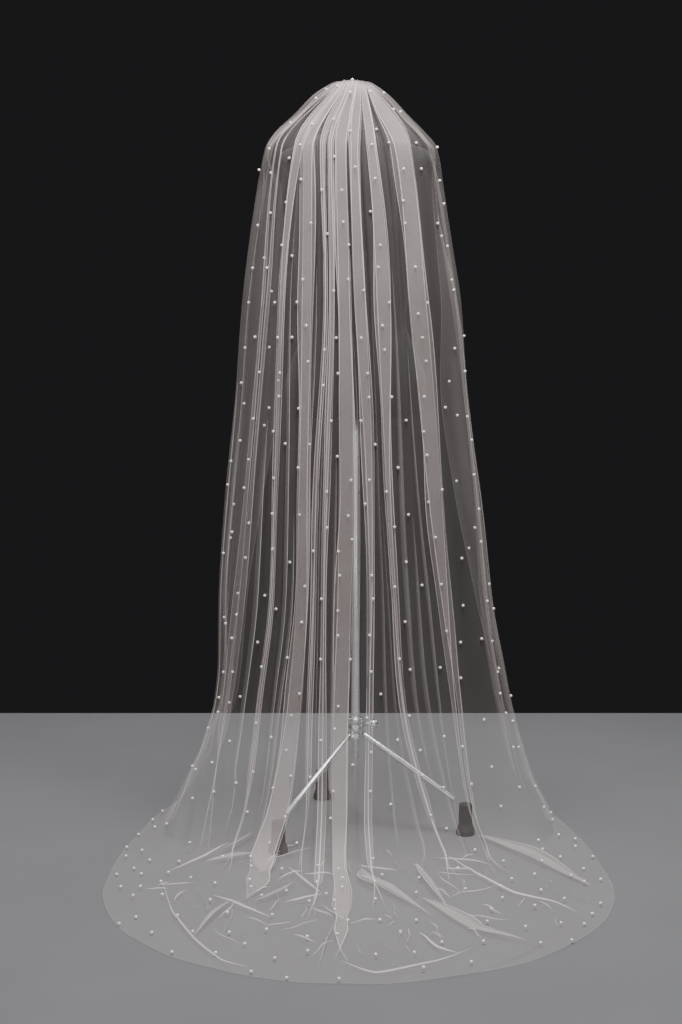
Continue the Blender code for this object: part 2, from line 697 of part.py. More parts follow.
def build_stand(materials, collection, parent):
    """Add the pole, the hub with its clamp knob, the three legs and their feet."""
    chrome = materials["chrome"]
    pole_top = FORM_BOTTOM - SEAM_GAP
    tube("pole", (POLE_X, 0.0, POLE_BOTTOM), (POLE_X, 0.0, pole_top), POLE_RADIUS,
         chrome, collection, parent)
    half = HUB_LENGTH / 2.0
    bore = POLE_RADIUS + SEAM_GAP
    edge = TURNED_EDGE
    hub = turned(
        "hub",
        [
            (bore, half),
            (HUB_RADIUS - edge, half),
            (HUB_RADIUS, half - edge),
            (HUB_RADIUS, edge - half),
            (HUB_RADIUS - edge, -half),
            (bore, -half),
            (bore, half),
        ],
        chrome, collection, parent,
    )
    hub.location = (POLE_X, 0.0, HUB_HEIGHT)
    stem_start = HUB_RADIUS + SEAM_GAP
    profile = [(0.0, KNOB_REACH + KNOB_RADIUS)]
    for step in range(KNOB_RINGS):
        turn = math.pi * (step + 1.0) / (KNOB_RINGS + 2.0)
        profile.append((KNOB_RADIUS * math.sin(turn), KNOB_REACH + KNOB_RADIUS * math.cos(turn)))
    profile.append((KNOB_STEM_RADIUS, KNOB_REACH - KNOB_RADIUS * KNOB_FOOT_SHARE))
    profile.append((KNOB_STEM_RADIUS, stem_start))
    profile.append((0.0, stem_start))
    knob = turned("clamp_knob", profile, chrome, collection, parent, SMALL_TURNED_STEPS)
    knob.location = (POLE_X, 0.0, HUB_HEIGHT + KNOB_RISE)
    knob.rotation_euler = (0.0, math.radians(90.0), 0.0)
    slope = (HUB_HEIGHT - LEG_END_HEIGHT) / LEG_REACH
    lean = math.sin(math.atan(slope))
    leg_start = HUB_RADIUS + LEG_RADIUS * lean + 2.0 * SEAM_GAP
    for name, angle in LEG_ANGLES.items():
        start = around_pole(leg_start, angle, HUB_HEIGHT - slope * leg_start)
        end = around_pole(LEG_REACH, angle, LEG_END_HEIGHT)
        tube(name, start, end, LEG_RADIUS, chrome, collection, parent)
        foot = turned(
            name.replace("leg", "foot"),
            [
                (0.0, FOOT_HEIGHT),
                (FOOT_TOP_RADIUS - edge, FOOT_HEIGHT),
                (FOOT_TOP_RADIUS, FOOT_HEIGHT - edge),
                (FOOT_SHOULDER_RADIUS, FOOT_HEIGHT * FOOT_SHOULDER_SHARE),
                (FOOT_BASE_RADIUS, FOOT_HEIGHT * FOOT_FLANK_SHARE),
                (FOOT_BASE_RADIUS, edge),
                (FOOT_BASE_RADIUS - edge, 0.0),
                (0.0, 0.0),
            ],
            materials["black_rubber"], collection, parent, SMALL_TURNED_STEPS,
        )
        foot.location = around_pole(FOOT_REACH, angle, 0.0)


def main():
    """Build the veil, the dress form and its stand in one collection."""
    clear_scene()
    collection = bpy.data.collections.new(COLLECTION_NAME)
    bpy.context.scene.collection.children.link(collection)
    placement = bpy.data.objects.new("placement", None)
    placement.location = (CENTRE_LINE_X, CENTRE_LINE_Y, 0.0)
    collection.objects.link(placement)
    materials = make_materials()
    build_cloth(materials, collection, placement)
    build_fastening(materials, collection, placement)
    build_dress_form(materials, collection, placement)
    build_stand(materials, collection, placement)


if __name__ == "__main__":
    main()
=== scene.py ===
"""Looks of a long pearl-strewn tulle veil on a black dress form with a chromed tripod.

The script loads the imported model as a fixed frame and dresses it.  The veil is one
sheet of soft tulle: its levels and folds are the rows that also loft its rigid
wall, read here in finer steps, with every fold laid double, small gathers between
the folds, and creases where the train lies on the floor.

Metres, +Z up, -Y towards the train.  The rows count from a line beside the pole.
"""

import logging
import math
import random
from dataclasses import dataclass
from enum import Enum
from typing import Any, Callable, Sequence

import bmesh
import bpy
import numpy as np
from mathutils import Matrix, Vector


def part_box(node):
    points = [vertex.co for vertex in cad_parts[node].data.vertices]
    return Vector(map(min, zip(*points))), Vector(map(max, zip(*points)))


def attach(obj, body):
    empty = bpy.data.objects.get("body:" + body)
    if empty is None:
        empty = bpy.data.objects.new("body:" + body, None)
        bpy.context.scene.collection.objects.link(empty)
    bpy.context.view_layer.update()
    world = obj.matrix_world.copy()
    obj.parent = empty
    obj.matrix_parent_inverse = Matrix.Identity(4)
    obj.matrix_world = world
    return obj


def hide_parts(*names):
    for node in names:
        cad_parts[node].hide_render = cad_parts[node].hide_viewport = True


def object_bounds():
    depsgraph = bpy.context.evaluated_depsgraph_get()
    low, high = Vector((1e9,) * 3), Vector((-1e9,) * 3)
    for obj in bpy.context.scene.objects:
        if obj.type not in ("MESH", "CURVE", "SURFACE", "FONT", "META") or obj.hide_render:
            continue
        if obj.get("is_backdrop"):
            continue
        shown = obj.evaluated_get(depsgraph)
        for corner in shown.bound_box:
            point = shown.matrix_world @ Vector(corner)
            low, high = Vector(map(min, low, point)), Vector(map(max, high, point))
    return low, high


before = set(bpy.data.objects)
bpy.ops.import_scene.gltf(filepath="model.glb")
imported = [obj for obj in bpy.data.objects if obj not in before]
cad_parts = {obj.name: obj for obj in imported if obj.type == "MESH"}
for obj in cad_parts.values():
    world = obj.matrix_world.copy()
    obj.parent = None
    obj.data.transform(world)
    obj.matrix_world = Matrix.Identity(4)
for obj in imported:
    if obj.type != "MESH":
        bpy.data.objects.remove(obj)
CAD_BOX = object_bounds()

Tree = bpy.types.NodeTree
Socket = bpy.types.NodeSocket

LOG = logging.getLogger("veil")
MM = 0.001
FINE_GRAIN = 2.0 * MM
BODY = "root"
# The pole stands this far to the right of the line that the veil's rows count from.
POLE_OFFSET = 0.008
UP = Vector((0.0, 0.0, 1.0))
# How deep the middle of a round edge is cut, as a share of the edge.
ROUND_SHARE = 0.3
# Cloth below this height lies on the floor; above it, its way out tips up a little.
LYING_HEIGHT = 0.03
HINT_RISE = 0.02
# Blender's wave texture has one wave in this length at a scale of 1, in metres.
WAVE_SCALE = 0.314
# Shares of the noise where a mottle leaves its dark tone and reaches its light one.
MOTTLE_STOPS = (0.35, 0.65)


class Turn(Enum):
    """Side to which a fold is laid, as the sign of its outer layer."""

    RIGHT = 1
    LEFT = -1


class Slot(Enum):
    """Material slots of the record."""

    TULLE = "tulle"
    BINDING = "satin_binding"
    COMB = "clear_comb"
    JERSEY = "black_jersey"
    CAP = "black_cap"
    CHROME = "chrome"
    RUBBER = "black_rubber"


def linear(colour: str) -> tuple[float, float, float, float]:
    """Turn an sRGB hex colour into linear values.

    Args:
        colour: six hex digits, with or without a leading #.

    Returns:
        Red, green, blue and an alpha of 1, linear.
    """
    digits = colour.lstrip("#")
    channels = [int(digits[place : place + 2], 16) / 255.0 for place in (0, 2, 4)]
    red, green, blue = [
        value / 12.92 if value <= 0.04045 else ((value + 0.055) / 1.055) ** 2.4
        for value in channels
    ]
    return red, green, blue, 1.0


def add_node(
    tree: Tree,
    kind: str,
    settings: dict[str, Any] | None = None,
    values: dict[str, Any] | None = None,
    links: dict[str, Any] | None = None,
) -> bpy.types.Node:
    """Add a node with its settings, socket values and incoming links.

    Args:
        tree: node tree that takes the node.
        kind: Blender's type name of the node.
        settings: attributes of the node.
        values: constants for its input sockets, by name.
        links: output sockets that feed its input sockets, by name.

    Returns:
        The new node.
    """
    node = tree.nodes.new(kind)
    for name, value in (settings or {}).items():
        setattr(node, name, value)
    for name, value in (values or {}).items():
        node.inputs[name].default_value = value
    for name, source in (links or {}).items():
        tree.links.new(source, node.inputs[name])
    return node


@dataclass(frozen=True)
class Mottle:
    """Two close tones that drift into each other over a surface."""

    dark: str
    light: str
    size: float

    def lay(self, tree: Tree, place: Socket) -> Socket:
        """Return the colour socket of the mottle.

        Args:
            tree: the material's node tree.
            place: socket of the surface position, in metres.

        Returns:
            The colour that drifts between the two tones.
        """
        noise = add_node(
            tree,
            "ShaderNodeTexNoise",
            values={"Scale": 1.0 / self.size, "Detail": 3.0, "Roughness": 0.55},
            links={"Vector": place},
        )
        ramp = add_node(tree, "ShaderNodeValToRGB", links={"Fac": noise.outputs["Fac"]})
        stops = zip(ramp.color_ramp.elements, MOTTLE_STOPS, (self.dark, self.light))
        for stop, position, tone in stops:
            stop.position = position
            stop.color = linear(tone)
        return ramp.outputs["Color"]


@dataclass(frozen=True)
class Finish:
    """Common part of every finish: a mottled colour, a relief and plain constants."""

    DEPTH = 0.03 * MM

    name: str
    mottle: Mottle
    roughness: float

    def constants(self) -> dict[str, Any]:
        """Return the constants for the shader's own sockets."""
        return {"Roughness": self.roughness}

    def relief(self, tree: Tree, place: Socket) -> Socket:
        """Draw a fine grain.

        Args:
            tree: the material's node tree.
            place: socket of the surface position, in metres.

        Returns:
            The socket of its height, as a share of DEPTH.
        """
        grain = add_node(
            tree,
            "ShaderNodeTexNoise",
            values={"Scale": 1.0 / FINE_GRAIN, "Detail": 2.0},
            links={"Vector": place},
        )
        return grain.outputs["Fac"]

    def make(self) -> bpy.types.Material:
        """Build the material.

        Returns:
            A material with one Principled shader.
        """
        material = bpy.data.materials.new(self.name)
        material.use_nodes = True
        tree = material.node_tree
        shader = tree.nodes["Principled BSDF"]
        place = add_node(tree, "ShaderNodeTexCoord").outputs["Object"]
        tree.links.new(self.mottle.lay(tree, place), shader.inputs["Base Color"])
        for name, value in self.constants().items():
            shader.inputs[name].default_value = value
        bump = add_node(
            tree,
            "ShaderNodeBump",
            values={"Strength": 1.0, "Distance": self.DEPTH},
            links={"Height": self.relief(tree, place)},
        )
        tree.links.new(bump.outputs["Normal"], shader.inputs["Normal"])
        return material


@dataclass(frozen=True)
class SoftTulle(Finish):
    """Nylon tulle, warp knitted as a fine six-sided net and left soft.

    Its yarn covers only a small share of the surface, so one layer is a faint
    milky haze, and laid folds add up to a clear warm white.  Where it turns sharply
    the yarns stand behind each other, so that the turn shows as a bright line; there
    a denser copy in a lighter tone is laid, and its lighter tone is a painted
    highlight.  The net itself, of about 1 mm, is too fine to show, so its relief is
    drawn three times as coarse.
    """

    DEPTH = 0.25 * MM

    cover: float
    net_pitch: float

    def constants(self) -> dict[str, Any]:
        """List the constants of the net.

        Returns:
            Values by the names of the shader's sockets.
        """
        return {
            "Roughness": self.roughness,
            "Alpha": self.cover,
            "Sheen Weight": 0.60,
            "Sheen Roughness": 0.35,
            "Sheen Tint": linear("#FFF9F5"),
            "Specular IOR Level": 0.35,
        }

    def relief(self, tree: Tree, place: Socket) -> Socket:
        """Draw the six-sided net.

        Args:
            tree: the material's node tree.
            place: socket of the surface position, in metres.

        Returns:
            The socket of its height, as a share of DEPTH.
        """
        cells = add_node(
            tree,
            "ShaderNodeTexVoronoi",
            settings={"feature": "DISTANCE_TO_EDGE"},
            values={"Scale": 1.0 / self.net_pitch, "Randomness": 0.25},
            links={"Vector": place},
        )
        return cells.outputs["Distance"]


@dataclass(frozen=True)
class SatinBinding(Finish):
    """Satin weave ribbon, its long floats lying across, which gives a soft gloss."""

    DEPTH = 0.05 * MM

    thread: float

    def constants(self) -> dict[str, Any]:
        """Return the constants of the satin."""
        return {"Roughness": self.roughness, "Sheen Weight": 0.3, "Sheen Roughness": 0.25}

    def relief(self, tree: Tree, place: Socket) -> Socket:
        """Draw the floats.

        Args:
            tree: the material's node tree.
            place: socket of the surface position, in metres.

        Returns:
            The socket of its height, as a share of DEPTH.
        """
        floats = add_node(
            tree,
            "ShaderNodeTexWave",
            settings={"bands_direction": "X"},
            values={"Scale": WAVE_SCALE / self.thread, "Distortion": 1.5},
            links={"Vector": place},
        )
        return floats.outputs["Fac"]


@dataclass(frozen=True)
class ClearPlastic(Finish):
    """Clear polycarbonate, injection moulded, glossy with a faint flow mottle."""

    def constants(self) -> dict[str, Any]:
        """Return the constants of the plastic."""
        return {"Roughness": self.roughness, "IOR": 1.58, "Alpha": 0.55, "Coat Weight": 0.4}


@dataclass(frozen=True)
class Jersey(Finish):
    """Cotton jersey, knitted and stretched over padding, which looks flat and matt.

    Its 0.7 mm stitches are drawn at twice their size so that they show close by.
    """

    DEPTH = 0.30 * MM

    stitch: float
    row_share: float

    def constants(self) -> dict[str, Any]:
        """List the constants of the knit.

        Returns:
            Values by the names of the shader's sockets.
        """
        return {
            "Roughness": self.roughness,
            "Sheen Weight": 0.06,
            "Sheen Roughness": 0.5,
            "Specular IOR Level": 0.15,
        }

    def relief(self, tree: Tree, place: Socket) -> Socket:
        """Draw the knit's columns crossed with its rows.

        Args:
            tree: the material's node tree.
            place: socket of the surface position, in metres.

        Returns:
            The socket of its height, as a share of DEPTH.
        """
        both = add_node(tree, "ShaderNodeMath", settings={"operation": "MULTIPLY"})
        ways = (("X", self.stitch), ("Z", self.row_share * self.stitch))
        for factor, (way, pitch) in zip(both.inputs, ways):
            loops = add_node(
                tree,
                "ShaderNodeTexWave",
                settings={"bands_direction": way},
                values={"Scale": WAVE_SCALE / pitch, "Distortion": 0.8},
                links={"Vector": place},
            )
            tree.links.new(loops.outputs["Fac"], factor)
        return both.outputs["Value"]


@dataclass(frozen=True)
class MouldedPlastic(Finish):
    """Black ABS, moulded with a fine spark texture, which breaks up the highlight."""

    DEPTH = 0.08 * MM

    grain: float

    def relief(self, tree: Tree, place: Socket) -> Socket:
        """Draw the spark texture.

        Args:
            tree: the material's node tree.
            place: socket of the surface position, in metres.

        Returns:
            The socket of its height, as a share of DEPTH.
        """
        sparks = add_node(
            tree,
            "ShaderNodeTexNoise",
            values={"Scale": 1.0 / self.grain, "Detail": 4.0, "Roughness": 0.7},
            links={"Vector": place},
        )
        return sparks.outputs["Fac"]


@dataclass(frozen=True)
class Chrome(Finish):
    """Steel tube, polished and chrome plated, bright with faint wipe marks."""

    DEPTH = 0.004 * MM

    mark_size: float
    wave_length: float

    def constants(self) -> dict[str, Any]:
        """Return the constants of the plating."""
        return {"Metallic": 1.0}

    def make(self) -> bpy.types.Material:
        """Build the material, its roughness drifting with the wipe marks.

        Returns:
            A material with one Principled shader.
        """
        material = super().make()
        tree = material.node_tree
        shader = tree.nodes["Principled BSDF"]
        place = add_node(tree, "ShaderNodeTexCoord").outputs["Object"]
        marks = add_node(
            tree,
            "ShaderNodeTexNoise",
            values={"Scale": 1.0 / self.mark_size, "Detail": 5.0, "Distortion": 0.6},
            links={"Vector": place},
        )
        spread = add_node(
            tree,
            "ShaderNodeMapRange",
            values={"To Min": 0.6 * self.roughness, "To Max": 1.6 * self.roughness},
            links={"Value": marks.outputs["Fac"]},
        )
        tree.links.new(spread.outputs["Result"], shader.inputs["Roughness"])
        return material

    def relief(self, tree: Tree, place: Socket) -> Socket:
        """Draw the tube's slow waviness under the plating.

        Args:
            tree: the material's node tree.
            place: socket of the surface position, in metres.

        Returns:
            The socket of its height, as a share of DEPTH.
        """
        waves = add_node(
            tree,
            "ShaderNodeTexNoise",
            values={"Scale": 1.0 / self.wave_length, "Detail": 1.0},
            links={"Vector": place},
        )
        return waves.outputs["Fac"]


@dataclass(frozen=True)
class Rubber(Finish):
    """Black rubber, moulded and bloomed, soft and dusty with no clear highlight."""


@dataclass(frozen=True)
class PearlCoat(Finish):
    """Round bead of resin with a nacre coat, creamy white under a hard gloss."""

    def constants(self) -> dict[str, Any]:
        """List the constants of the coated bead.

        Returns:
            Values by the names of the shader's sockets.
        """
        return {
            "Roughness": self.roughness,
            "IOR": 1.53,
            "Coat Weight": 0.8,
            "Coat Roughness": 0.08,
            "Sheen Weight": 0.25,
        }


@dataclass(frozen=True)
class Paper(Finish):
    """Seamless studio paper, matt and even."""

    def constants(self) -> dict[str, Any]:
        """Return the constants of the paper."""
        return {"Roughness": self.roughness, "Specular IOR Level": 0.0}


TULLE = SoftTulle("soft_nylon_tulle", Mottle("#F8EAE7", "#FFF3F0", 90.0 * MM), 0.55, 0.068, 3.0 * MM)
# Tulle at the turns: a denser net, which is real, in a lighter tone than the plain tulle, which is a
# painted highlight.
TURNED_TULLE_PAINTED_HIGHLIGHT = SoftTulle("tulle_at_a_turn_with_painted_highlight", Mottle("#FBEFEC", "#FFF6F3", 90.0 * MM), 0.50, 0.52, 3.0 * MM)
TULLE_EDGE = SoftTulle("rolled_tulle_edge", Mottle("#F8EAE7", "#FFF3F0", 90.0 * MM), 0.50, 0.22, 3.0 * MM)
BINDING = SatinBinding("ivory_satin_ribbon", Mottle("#EDE6DF", "#F8F3EE", 15.0 * MM), 0.38, 0.8 * MM)
COMB = ClearPlastic("clear_polycarbonate", Mottle("#E9ECEC", "#F7F8F8", 10.0 * MM), 0.12)
JERSEY = Jersey("black_cotton_jersey", Mottle("#131315", "#1B1B1E", 60.0 * MM), 0.9, 1.4 * MM, 0.7)
CAP = MouldedPlastic("black_moulded_abs", Mottle("#141415", "#1A1A1B", 12.0 * MM), 0.42, 0.6 * MM)
CHROME = Chrome("chrome_plated_steel", Mottle("#E6E7E9", "#F1F2F3", 50.0 * MM), 0.28, 25.0 * MM, 12.0 * MM)
RUBBER = Rubber("moulded_black_rubber", Mottle("#121212", "#1E1D1C", 9.0 * MM), 0.82)
PEARL = PearlCoat("nacre_coated_resin", Mottle("#FAF4EC", "#FFFEFB", 4.0 * MM), 0.16)
PAPER = Paper("pale_studio_paper", Mottle("#6C6C6E", "#6F6F71", 400.0 * MM), 0.85)


def link_piece(name: str, mesh: bpy.types.ID, finish: Finish, slot: Slot) -> bpy.types.Object:
    """Link a piece with its finish and ride it on the body.

    Args:
        name: the piece's name.
        mesh: its mesh or curve, in the frame's own metres.
        finish: what it is made of.
        slot: not used.

    Returns:
        The linked object.
    """
    piece = bpy.data.objects.new(name, mesh)
    bpy.context.scene.collection.objects.link(piece)
    piece.data.materials.clear()
    piece.data.materials.append(finish.make())
    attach(piece, BODY)
    return piece


def smooth_mesh(name: str, points: Any, faces: Any) -> bpy.types.Mesh:
    """Make a smooth-shaded mesh.

    Args:
        name: the mesh's name.
        points: x, y and z of each point.
        faces: the numbers of each face's points.

    Returns:
        The mesh.
    """
    mesh = bpy.data.meshes.new(name)
    mesh.from_pydata([tuple(point) for point in points], [], [tuple(face) for face in faces])
    mesh.polygons.foreach_set("use_smooth", [True] * len(mesh.polygons))
    mesh.update()
    return mesh


def ease(value: Any) -> Any:
    """Ease a share, or an array of shares, from 0 to 1."""
    share = np.clip(value, 0.0, 1.0)
    return share * share * (3.0 - 2.0 * share)


def ease_over(value: Any, start: float, length: float) -> Any:
    """Ease from 0 to 1 over a length that begins at a start."""
    return ease((value - start) / length)


def monotone(keys: Sequence[float], values: Sequence[float], at: float) -> float:
    """Read a smooth curve that never overshoots its own points.

    Args:
        keys: rising positions of the points.
        values: their values.
        at: position to read.

    Returns:
        The value there, held level beyond both ends.
    """
    last = len(keys) - 1
    if at <= keys[0]:
        return values[0]
    if at >= keys[last]:
        return values[last]
    steps = [keys[i + 1] - keys[i] for i in range(last)]
    slopes = [(values[i + 1] - values[i]) / steps[i] for i in range(last)]
    tangents = [slopes[0]]
    for i in range(1, last):
        before, after = slopes[i - 1], slopes[i]
        if before * after <= 0.0:
            tangents.append(0.0)
        else:
            weight_a = 2.0 * steps[i] + steps[i - 1]
            weight_b = steps[i] + 2.0 * steps[i - 1]
            tangents.append((weight_a + weight_b) / (weight_a / before + weight_b / after))
    tangents.append(slopes[-1])
    place = max(i for i in range(last) if keys[i] <= at)
    step = steps[place]
    t = (at - keys[place]) / step
    return (
        values[place] * (2 * t**3 - 3 * t**2 + 1)
        + tangents[place] * step * (t**3 - 2 * t**2 + t)
        + values[place + 1] * (3 * t**2 - 2 * t**3)
        + tangents[place + 1] * step * (t**3 - t**2)
    )


@dataclass(frozen=True)
class Level:
    """Outline of the cloth at one travel, from the gathers (0) down to the hem (1).

    Height of the outline, half widths to the left and right, y of the widest line,
    depths behind and before it, and how far round the free edges lie, in degrees.
    """

    name: str
    travel: float
    height: float
    left: float
    right: float
    middle: float
    back: float
    front: float
    wrap_left: float
    wrap_right: float


LEVELS = (
    Level("gathers", 0.000, 1.7266, 0.028, 0.025, 0.026, 0.004, 0.002, 96, 96),
    Level("top", 0.010, 1.7284, 0.029, 0.025, 0.012, 0.017, 0.006, 98, 98),
    Level("brow", 0.020, 1.7250, 0.040, 0.038, 0.006, 0.038, 0.014, 100, 100),
    Level("nape", 0.030, 1.7160, 0.054, 0.050, 0.002, 0.051, 0.026, 104, 102),
    Level("neck", 0.044, 1.6940, 0.086, 0.078, 0.000, 0.062, 0.042, 107, 103),
    Level("slope", 0.064, 1.6470, 0.128, 0.121, 0.000, 0.076, 0.058, 104, 103),
    Level("yoke", 0.082, 1.6050, 0.174, 0.163, 0.000, 0.088, 0.068, 98, 100),
    Level("shoulder", 0.095, 1.5780, 0.191, 0.185, 0.000, 0.096, 0.074, 95, 99),
    Level("blade", 0.125, 1.5050, 0.204, 0.196, 0.002, 0.111, 0.080, 126, 112),
    Level("back", 0.190, 1.3520, 0.228, 0.221, 0.002, 0.131, 0.090, 135, 118),
    Level("waist", 0.235, 1.2400, 0.242, 0.240, 0.000, 0.143, 0.100, 137, 121),
    Level("hip", 0.325, 1.0100, 0.260, 0.261, 0.000, 0.160, 0.115, 138, 127),
    Level("thigh", 0.415, 0.7790, 0.280, 0.290, 0.000, 0.177, 0.125, 131, 123),
    Level("knee", 0.505, 0.5450, 0.296, 0.317, 0.000, 0.192, 0.140, 123, 113),
    Level("calf", 0.560, 0.4000, 0.299, 0.346, 0.000, 0.204, 0.150, 119, 110),
    Level("shin", 0.600, 0.3000, 0.310, 0.366, 0.000, 0.215, 0.162, 117, 110),
    Level("ankle", 0.635, 0.2110, 0.340, 0.391, 0.000, 0.231, 0.180, 113, 108),
    Level("flare", 0.664, 0.1300, 0.379, 0.420, 0.000, 0.252, 0.200, 108, 105),
    Level("break", 0.688, 0.0660, 0.413, 0.456, 0.000, 0.281, 0.220, 103, 102),
    Level("touch", 0.706, 0.0250, 0.438, 0.474, 0.000, 0.318, 0.240, 100, 100),
    Level("floor", 0.726, 0.0042, 0.446, 0.479, -0.029, 0.335, 0.298, 101, 101),
    Level("hem", 1.000, 0.0014, 0.528, 0.550, -0.420, 0.570, 1.090, 125, 122),
)
SHOULDER_TRAVEL = 0.095
TOUCH_TRAVEL = 0.706
FAN_ANGLE = 12.0
# What share^2 * (1 - share) is multiplied by for a peak of 1.
FAN_PEAK = 27.0 / 4.0

# Travels over which something eases in: where it starts, and over what length.
CREST_RISES = (0.010, 0.025)
TURNS_SHOW = (0.012, 0.06)
FOLDS_OPEN = (0.02, 0.09)
GATHERS_LIE = (0.68, 0.08)
SWELLS_RISE = (0.69, 0.05)
FOLDS_LIE = (0.70, 0.06)
FOLDS_FAN = (TOUCH_TRAVEL, 0.09)
GATHERS_OPEN = 0.015
# The same for heights: folds grow full above the shoulders.
CROWN_FULL = (1.56, 0.12)
# How long before its end a fold goes single and goes flat, and over what length.
SINGLE_BEFORE_END = 0.14
FLAT_BEFORE_END = 0.02
END_LENGTH = 0.06


@dataclass(frozen=True)
class Fold:
    """A long fold laid in the cloth.

    middles and widths: of its band, across the back, at each of FOLD_HEIGHTS.
    depth: half the space that its layers take.  train_angle: where it lies on the
    train, in degrees from the middle, and train_end: the travel where it runs out.
    """

    name: str
    turn: Turn
    depth: float
    middles: tuple[float, ...]
    widths: tuple[float, ...]
    train_angle: float
    train_end: float

    def single(self, travel: float | np.ndarray) -> float | np.ndarray:
        """Return 0 where it has five layers and 1 where it has three, near its end."""
        return ease_over(travel, self.train_end - SINGLE_BEFORE_END, END_LENGTH)


FOLD_HEIGHTS = (1.578, 1.240, 0.860, 0.572, 0.350, 0.105, 0.025)
FOLDS = (
    Fold("rim_left", Turn.RIGHT, 0.0055,
         (-0.165, -0.196, -0.229, -0.257, -0.285, -0.318, -0.328),
         (0.002, 0.008, 0.010, 0.016, 0.026, 0.008, 0.004), -47, 0.745),
    Fold("side_left", Turn.LEFT, 0.0060,
         (-0.121, -0.158, -0.171, -0.180, -0.204, -0.236, -0.262),
         (0.018, 0.009, 0.006, 0.006, 0.006, 0.005, 0.004), -35, 0.78),
    Fold("wide_left", Turn.RIGHT, 0.0074,
         (-0.100, -0.103, -0.109, -0.112, -0.124, -0.164, -0.194),
         (0.027, 0.030, 0.028, 0.032, 0.040, 0.056, 0.062), -23.5, 0.85),
    Fold("thin_left", Turn.RIGHT, 0.0058,
         (-0.066, -0.0605, -0.079, -0.086, -0.090, -0.098, -0.110),
         (0.009, 0.006, 0.008, 0.006, 0.005, 0.005, 0.004), -13.5, 0.78),
    Fold("near_left", Turn.RIGHT, 0.0058,
         (-0.0505, -0.0455, -0.057, -0.063, -0.062, -0.066, -0.070),
         (0.010, 0.012, 0.012, 0.008, 0.008, 0.009, 0.009), -8.5, 0.88),
    Fold("middle", Turn.RIGHT, 0.0070,
         (-0.026, -0.0195, -0.0115, -0.0190, -0.0240, -0.0280, -0.0300),
         (0.027, 0.030, 0.044, 0.036, 0.040, 0.040, 0.032), -2.5, 0.965),
    Fold("near_right", Turn.RIGHT, 0.0064,
         (0.0035, 0.0165, 0.036, 0.042, 0.040, 0.036, 0.040),
         (0.020, 0.028, 0.019, 0.010, 0.006, 0.007, 0.006), 5.5, 0.84),
    Fold("side_right", Turn.RIGHT, 0.0064,
         (0.041, 0.068, 0.0785, 0.0966, 0.1176, 0.176, 0.208),
         (0.019, 0.034, 0.014, 0.009, 0.007, 0.006, 0.005), 25, 0.80),
    Fold("wide_right", Turn.LEFT, 0.0070,
         (0.110, 0.146, 0.1815, 0.210, 0.239, 0.272, 0.300),
         (0.044, 0.050, 0.045, 0.028, 0.009, 0.006, 0.005), 38, 0.80),
)
CROWN_HEIGHT = 1.729
CREST_SAG = 0.0035
CROWN_FOLD_WIDTH = 0.0042
CROWN_FOLD_DEPTH = 0.0024
TRAIN_FOLD_DEPTH = 0.0014
TIP_TRAVEL = 0.10
GATHER_WIDTH = 0.068
CROWN_SPREAD = 0.44
# Folds near the sides: how far out a middle may lie, and how edge on it may count.
OUTER_SINE = 0.97
LEAST_COSINE = 0.35
CROWN_FULLNESS = 0.75


@dataclass(frozen=True)
class Ripple:
    """A slow wandering along the cloth.

    rate: in radians over the whole length; step: from one fold to the next; size:
    how far it goes to either side.
    """

    rate: float
    step: float
    size: float

    def at(self, travel: float | np.ndarray, order: int, offset: float = 0.0) -> float | np.ndarray:
        """Return how far it goes at some travels, for one fold."""
        return self.size * np.sin(self.rate * travel + self.step * order + offset)


# How far the two hidden laps of a fold reach across its band, as a share.
LAP_PLACES = (0.0, 0.125, 0.375, 0.625, 0.875, 1.0)
FIRST_LAP = 0.62
SECOND_LAP = 0.60
FIRST_LAP_RIPPLES = (Ripple(17.0, 2.3, 0.16), Ripple(41.0, 5.1, 0.096))
SECOND_LAP_RIPPLE = Ripple(23.0, 3.7, -0.15)
GATHER_RIPPLE = Ripple(9.0, 1.9, 1.0)
TURN_RIPPLE = Ripple(19.0, 2.7, 0.35)
TURN_OFFSET = 1.3
# Where a fold turns, in eighths of its steps.  The first and the last lie outside.
TURN_EIGHTHS = (1, 3, 5, 7)
INNER_TURN_SHARE = 0.8
TURN_FADE = 0.09
PLEAT_RIPPLE = Ripple(7.0, 1.7, 0.03)


@dataclass(frozen=True)
class Gather:
    """Small gathers in the stretch of cloth before one fold, or after the last.

    count: of waves across it; lap: how far each wave lies over the next at the
    crown; slack: how deep the waves are lower down; drift: how far they wander;
    opens: the share of the veil's length over which the laps open.
    """

    count: int
    lap: float
    slack: float
    drift: float
    opens: float


GATHERS = (
    Gather(3, 1.6, 0.0060, 0.10, 0.050),
    Gather(1, 1.5, 0.0025, 0.10, 0.040),
    Gather(2, 1.7, 0.0040, 0.10, 0.120),
    Gather(2, 2.0, 0.0030, 0.14, 0.230),
    Gather(1, 2.0, 0.0020, 0.12, 0.200),
    Gather(1, 1.8, 0.0020, 0.10, 0.260),
    Gather(1, 1.9, 0.0025, 0.08, 0.160),
    Gather(2, 1.7, 0.0035, 0.16, 0.200),
    Gather(2, 1.9, 0.0040, 0.12, 0.200),
    Gather(3, 1.6, 0.0070, 0.10, 0.050),
)
OPEN_LAP = 0.30
LAP_HOLD = 0.9
CROWN_SLACK = 0.0022
STRETCH_MARGIN = 0.12


@dataclass(frozen=True)
class Tuck:
    """A tuck of the train, where the cloth doubles over itself as it lies.

    line: its foot over the floor; reach: how far its crest lies to the left of the
    line, or to the right if negative; height: of the crest.
    """

    line: tuple[tuple[float, float], ...]
    reach: float
    height: float


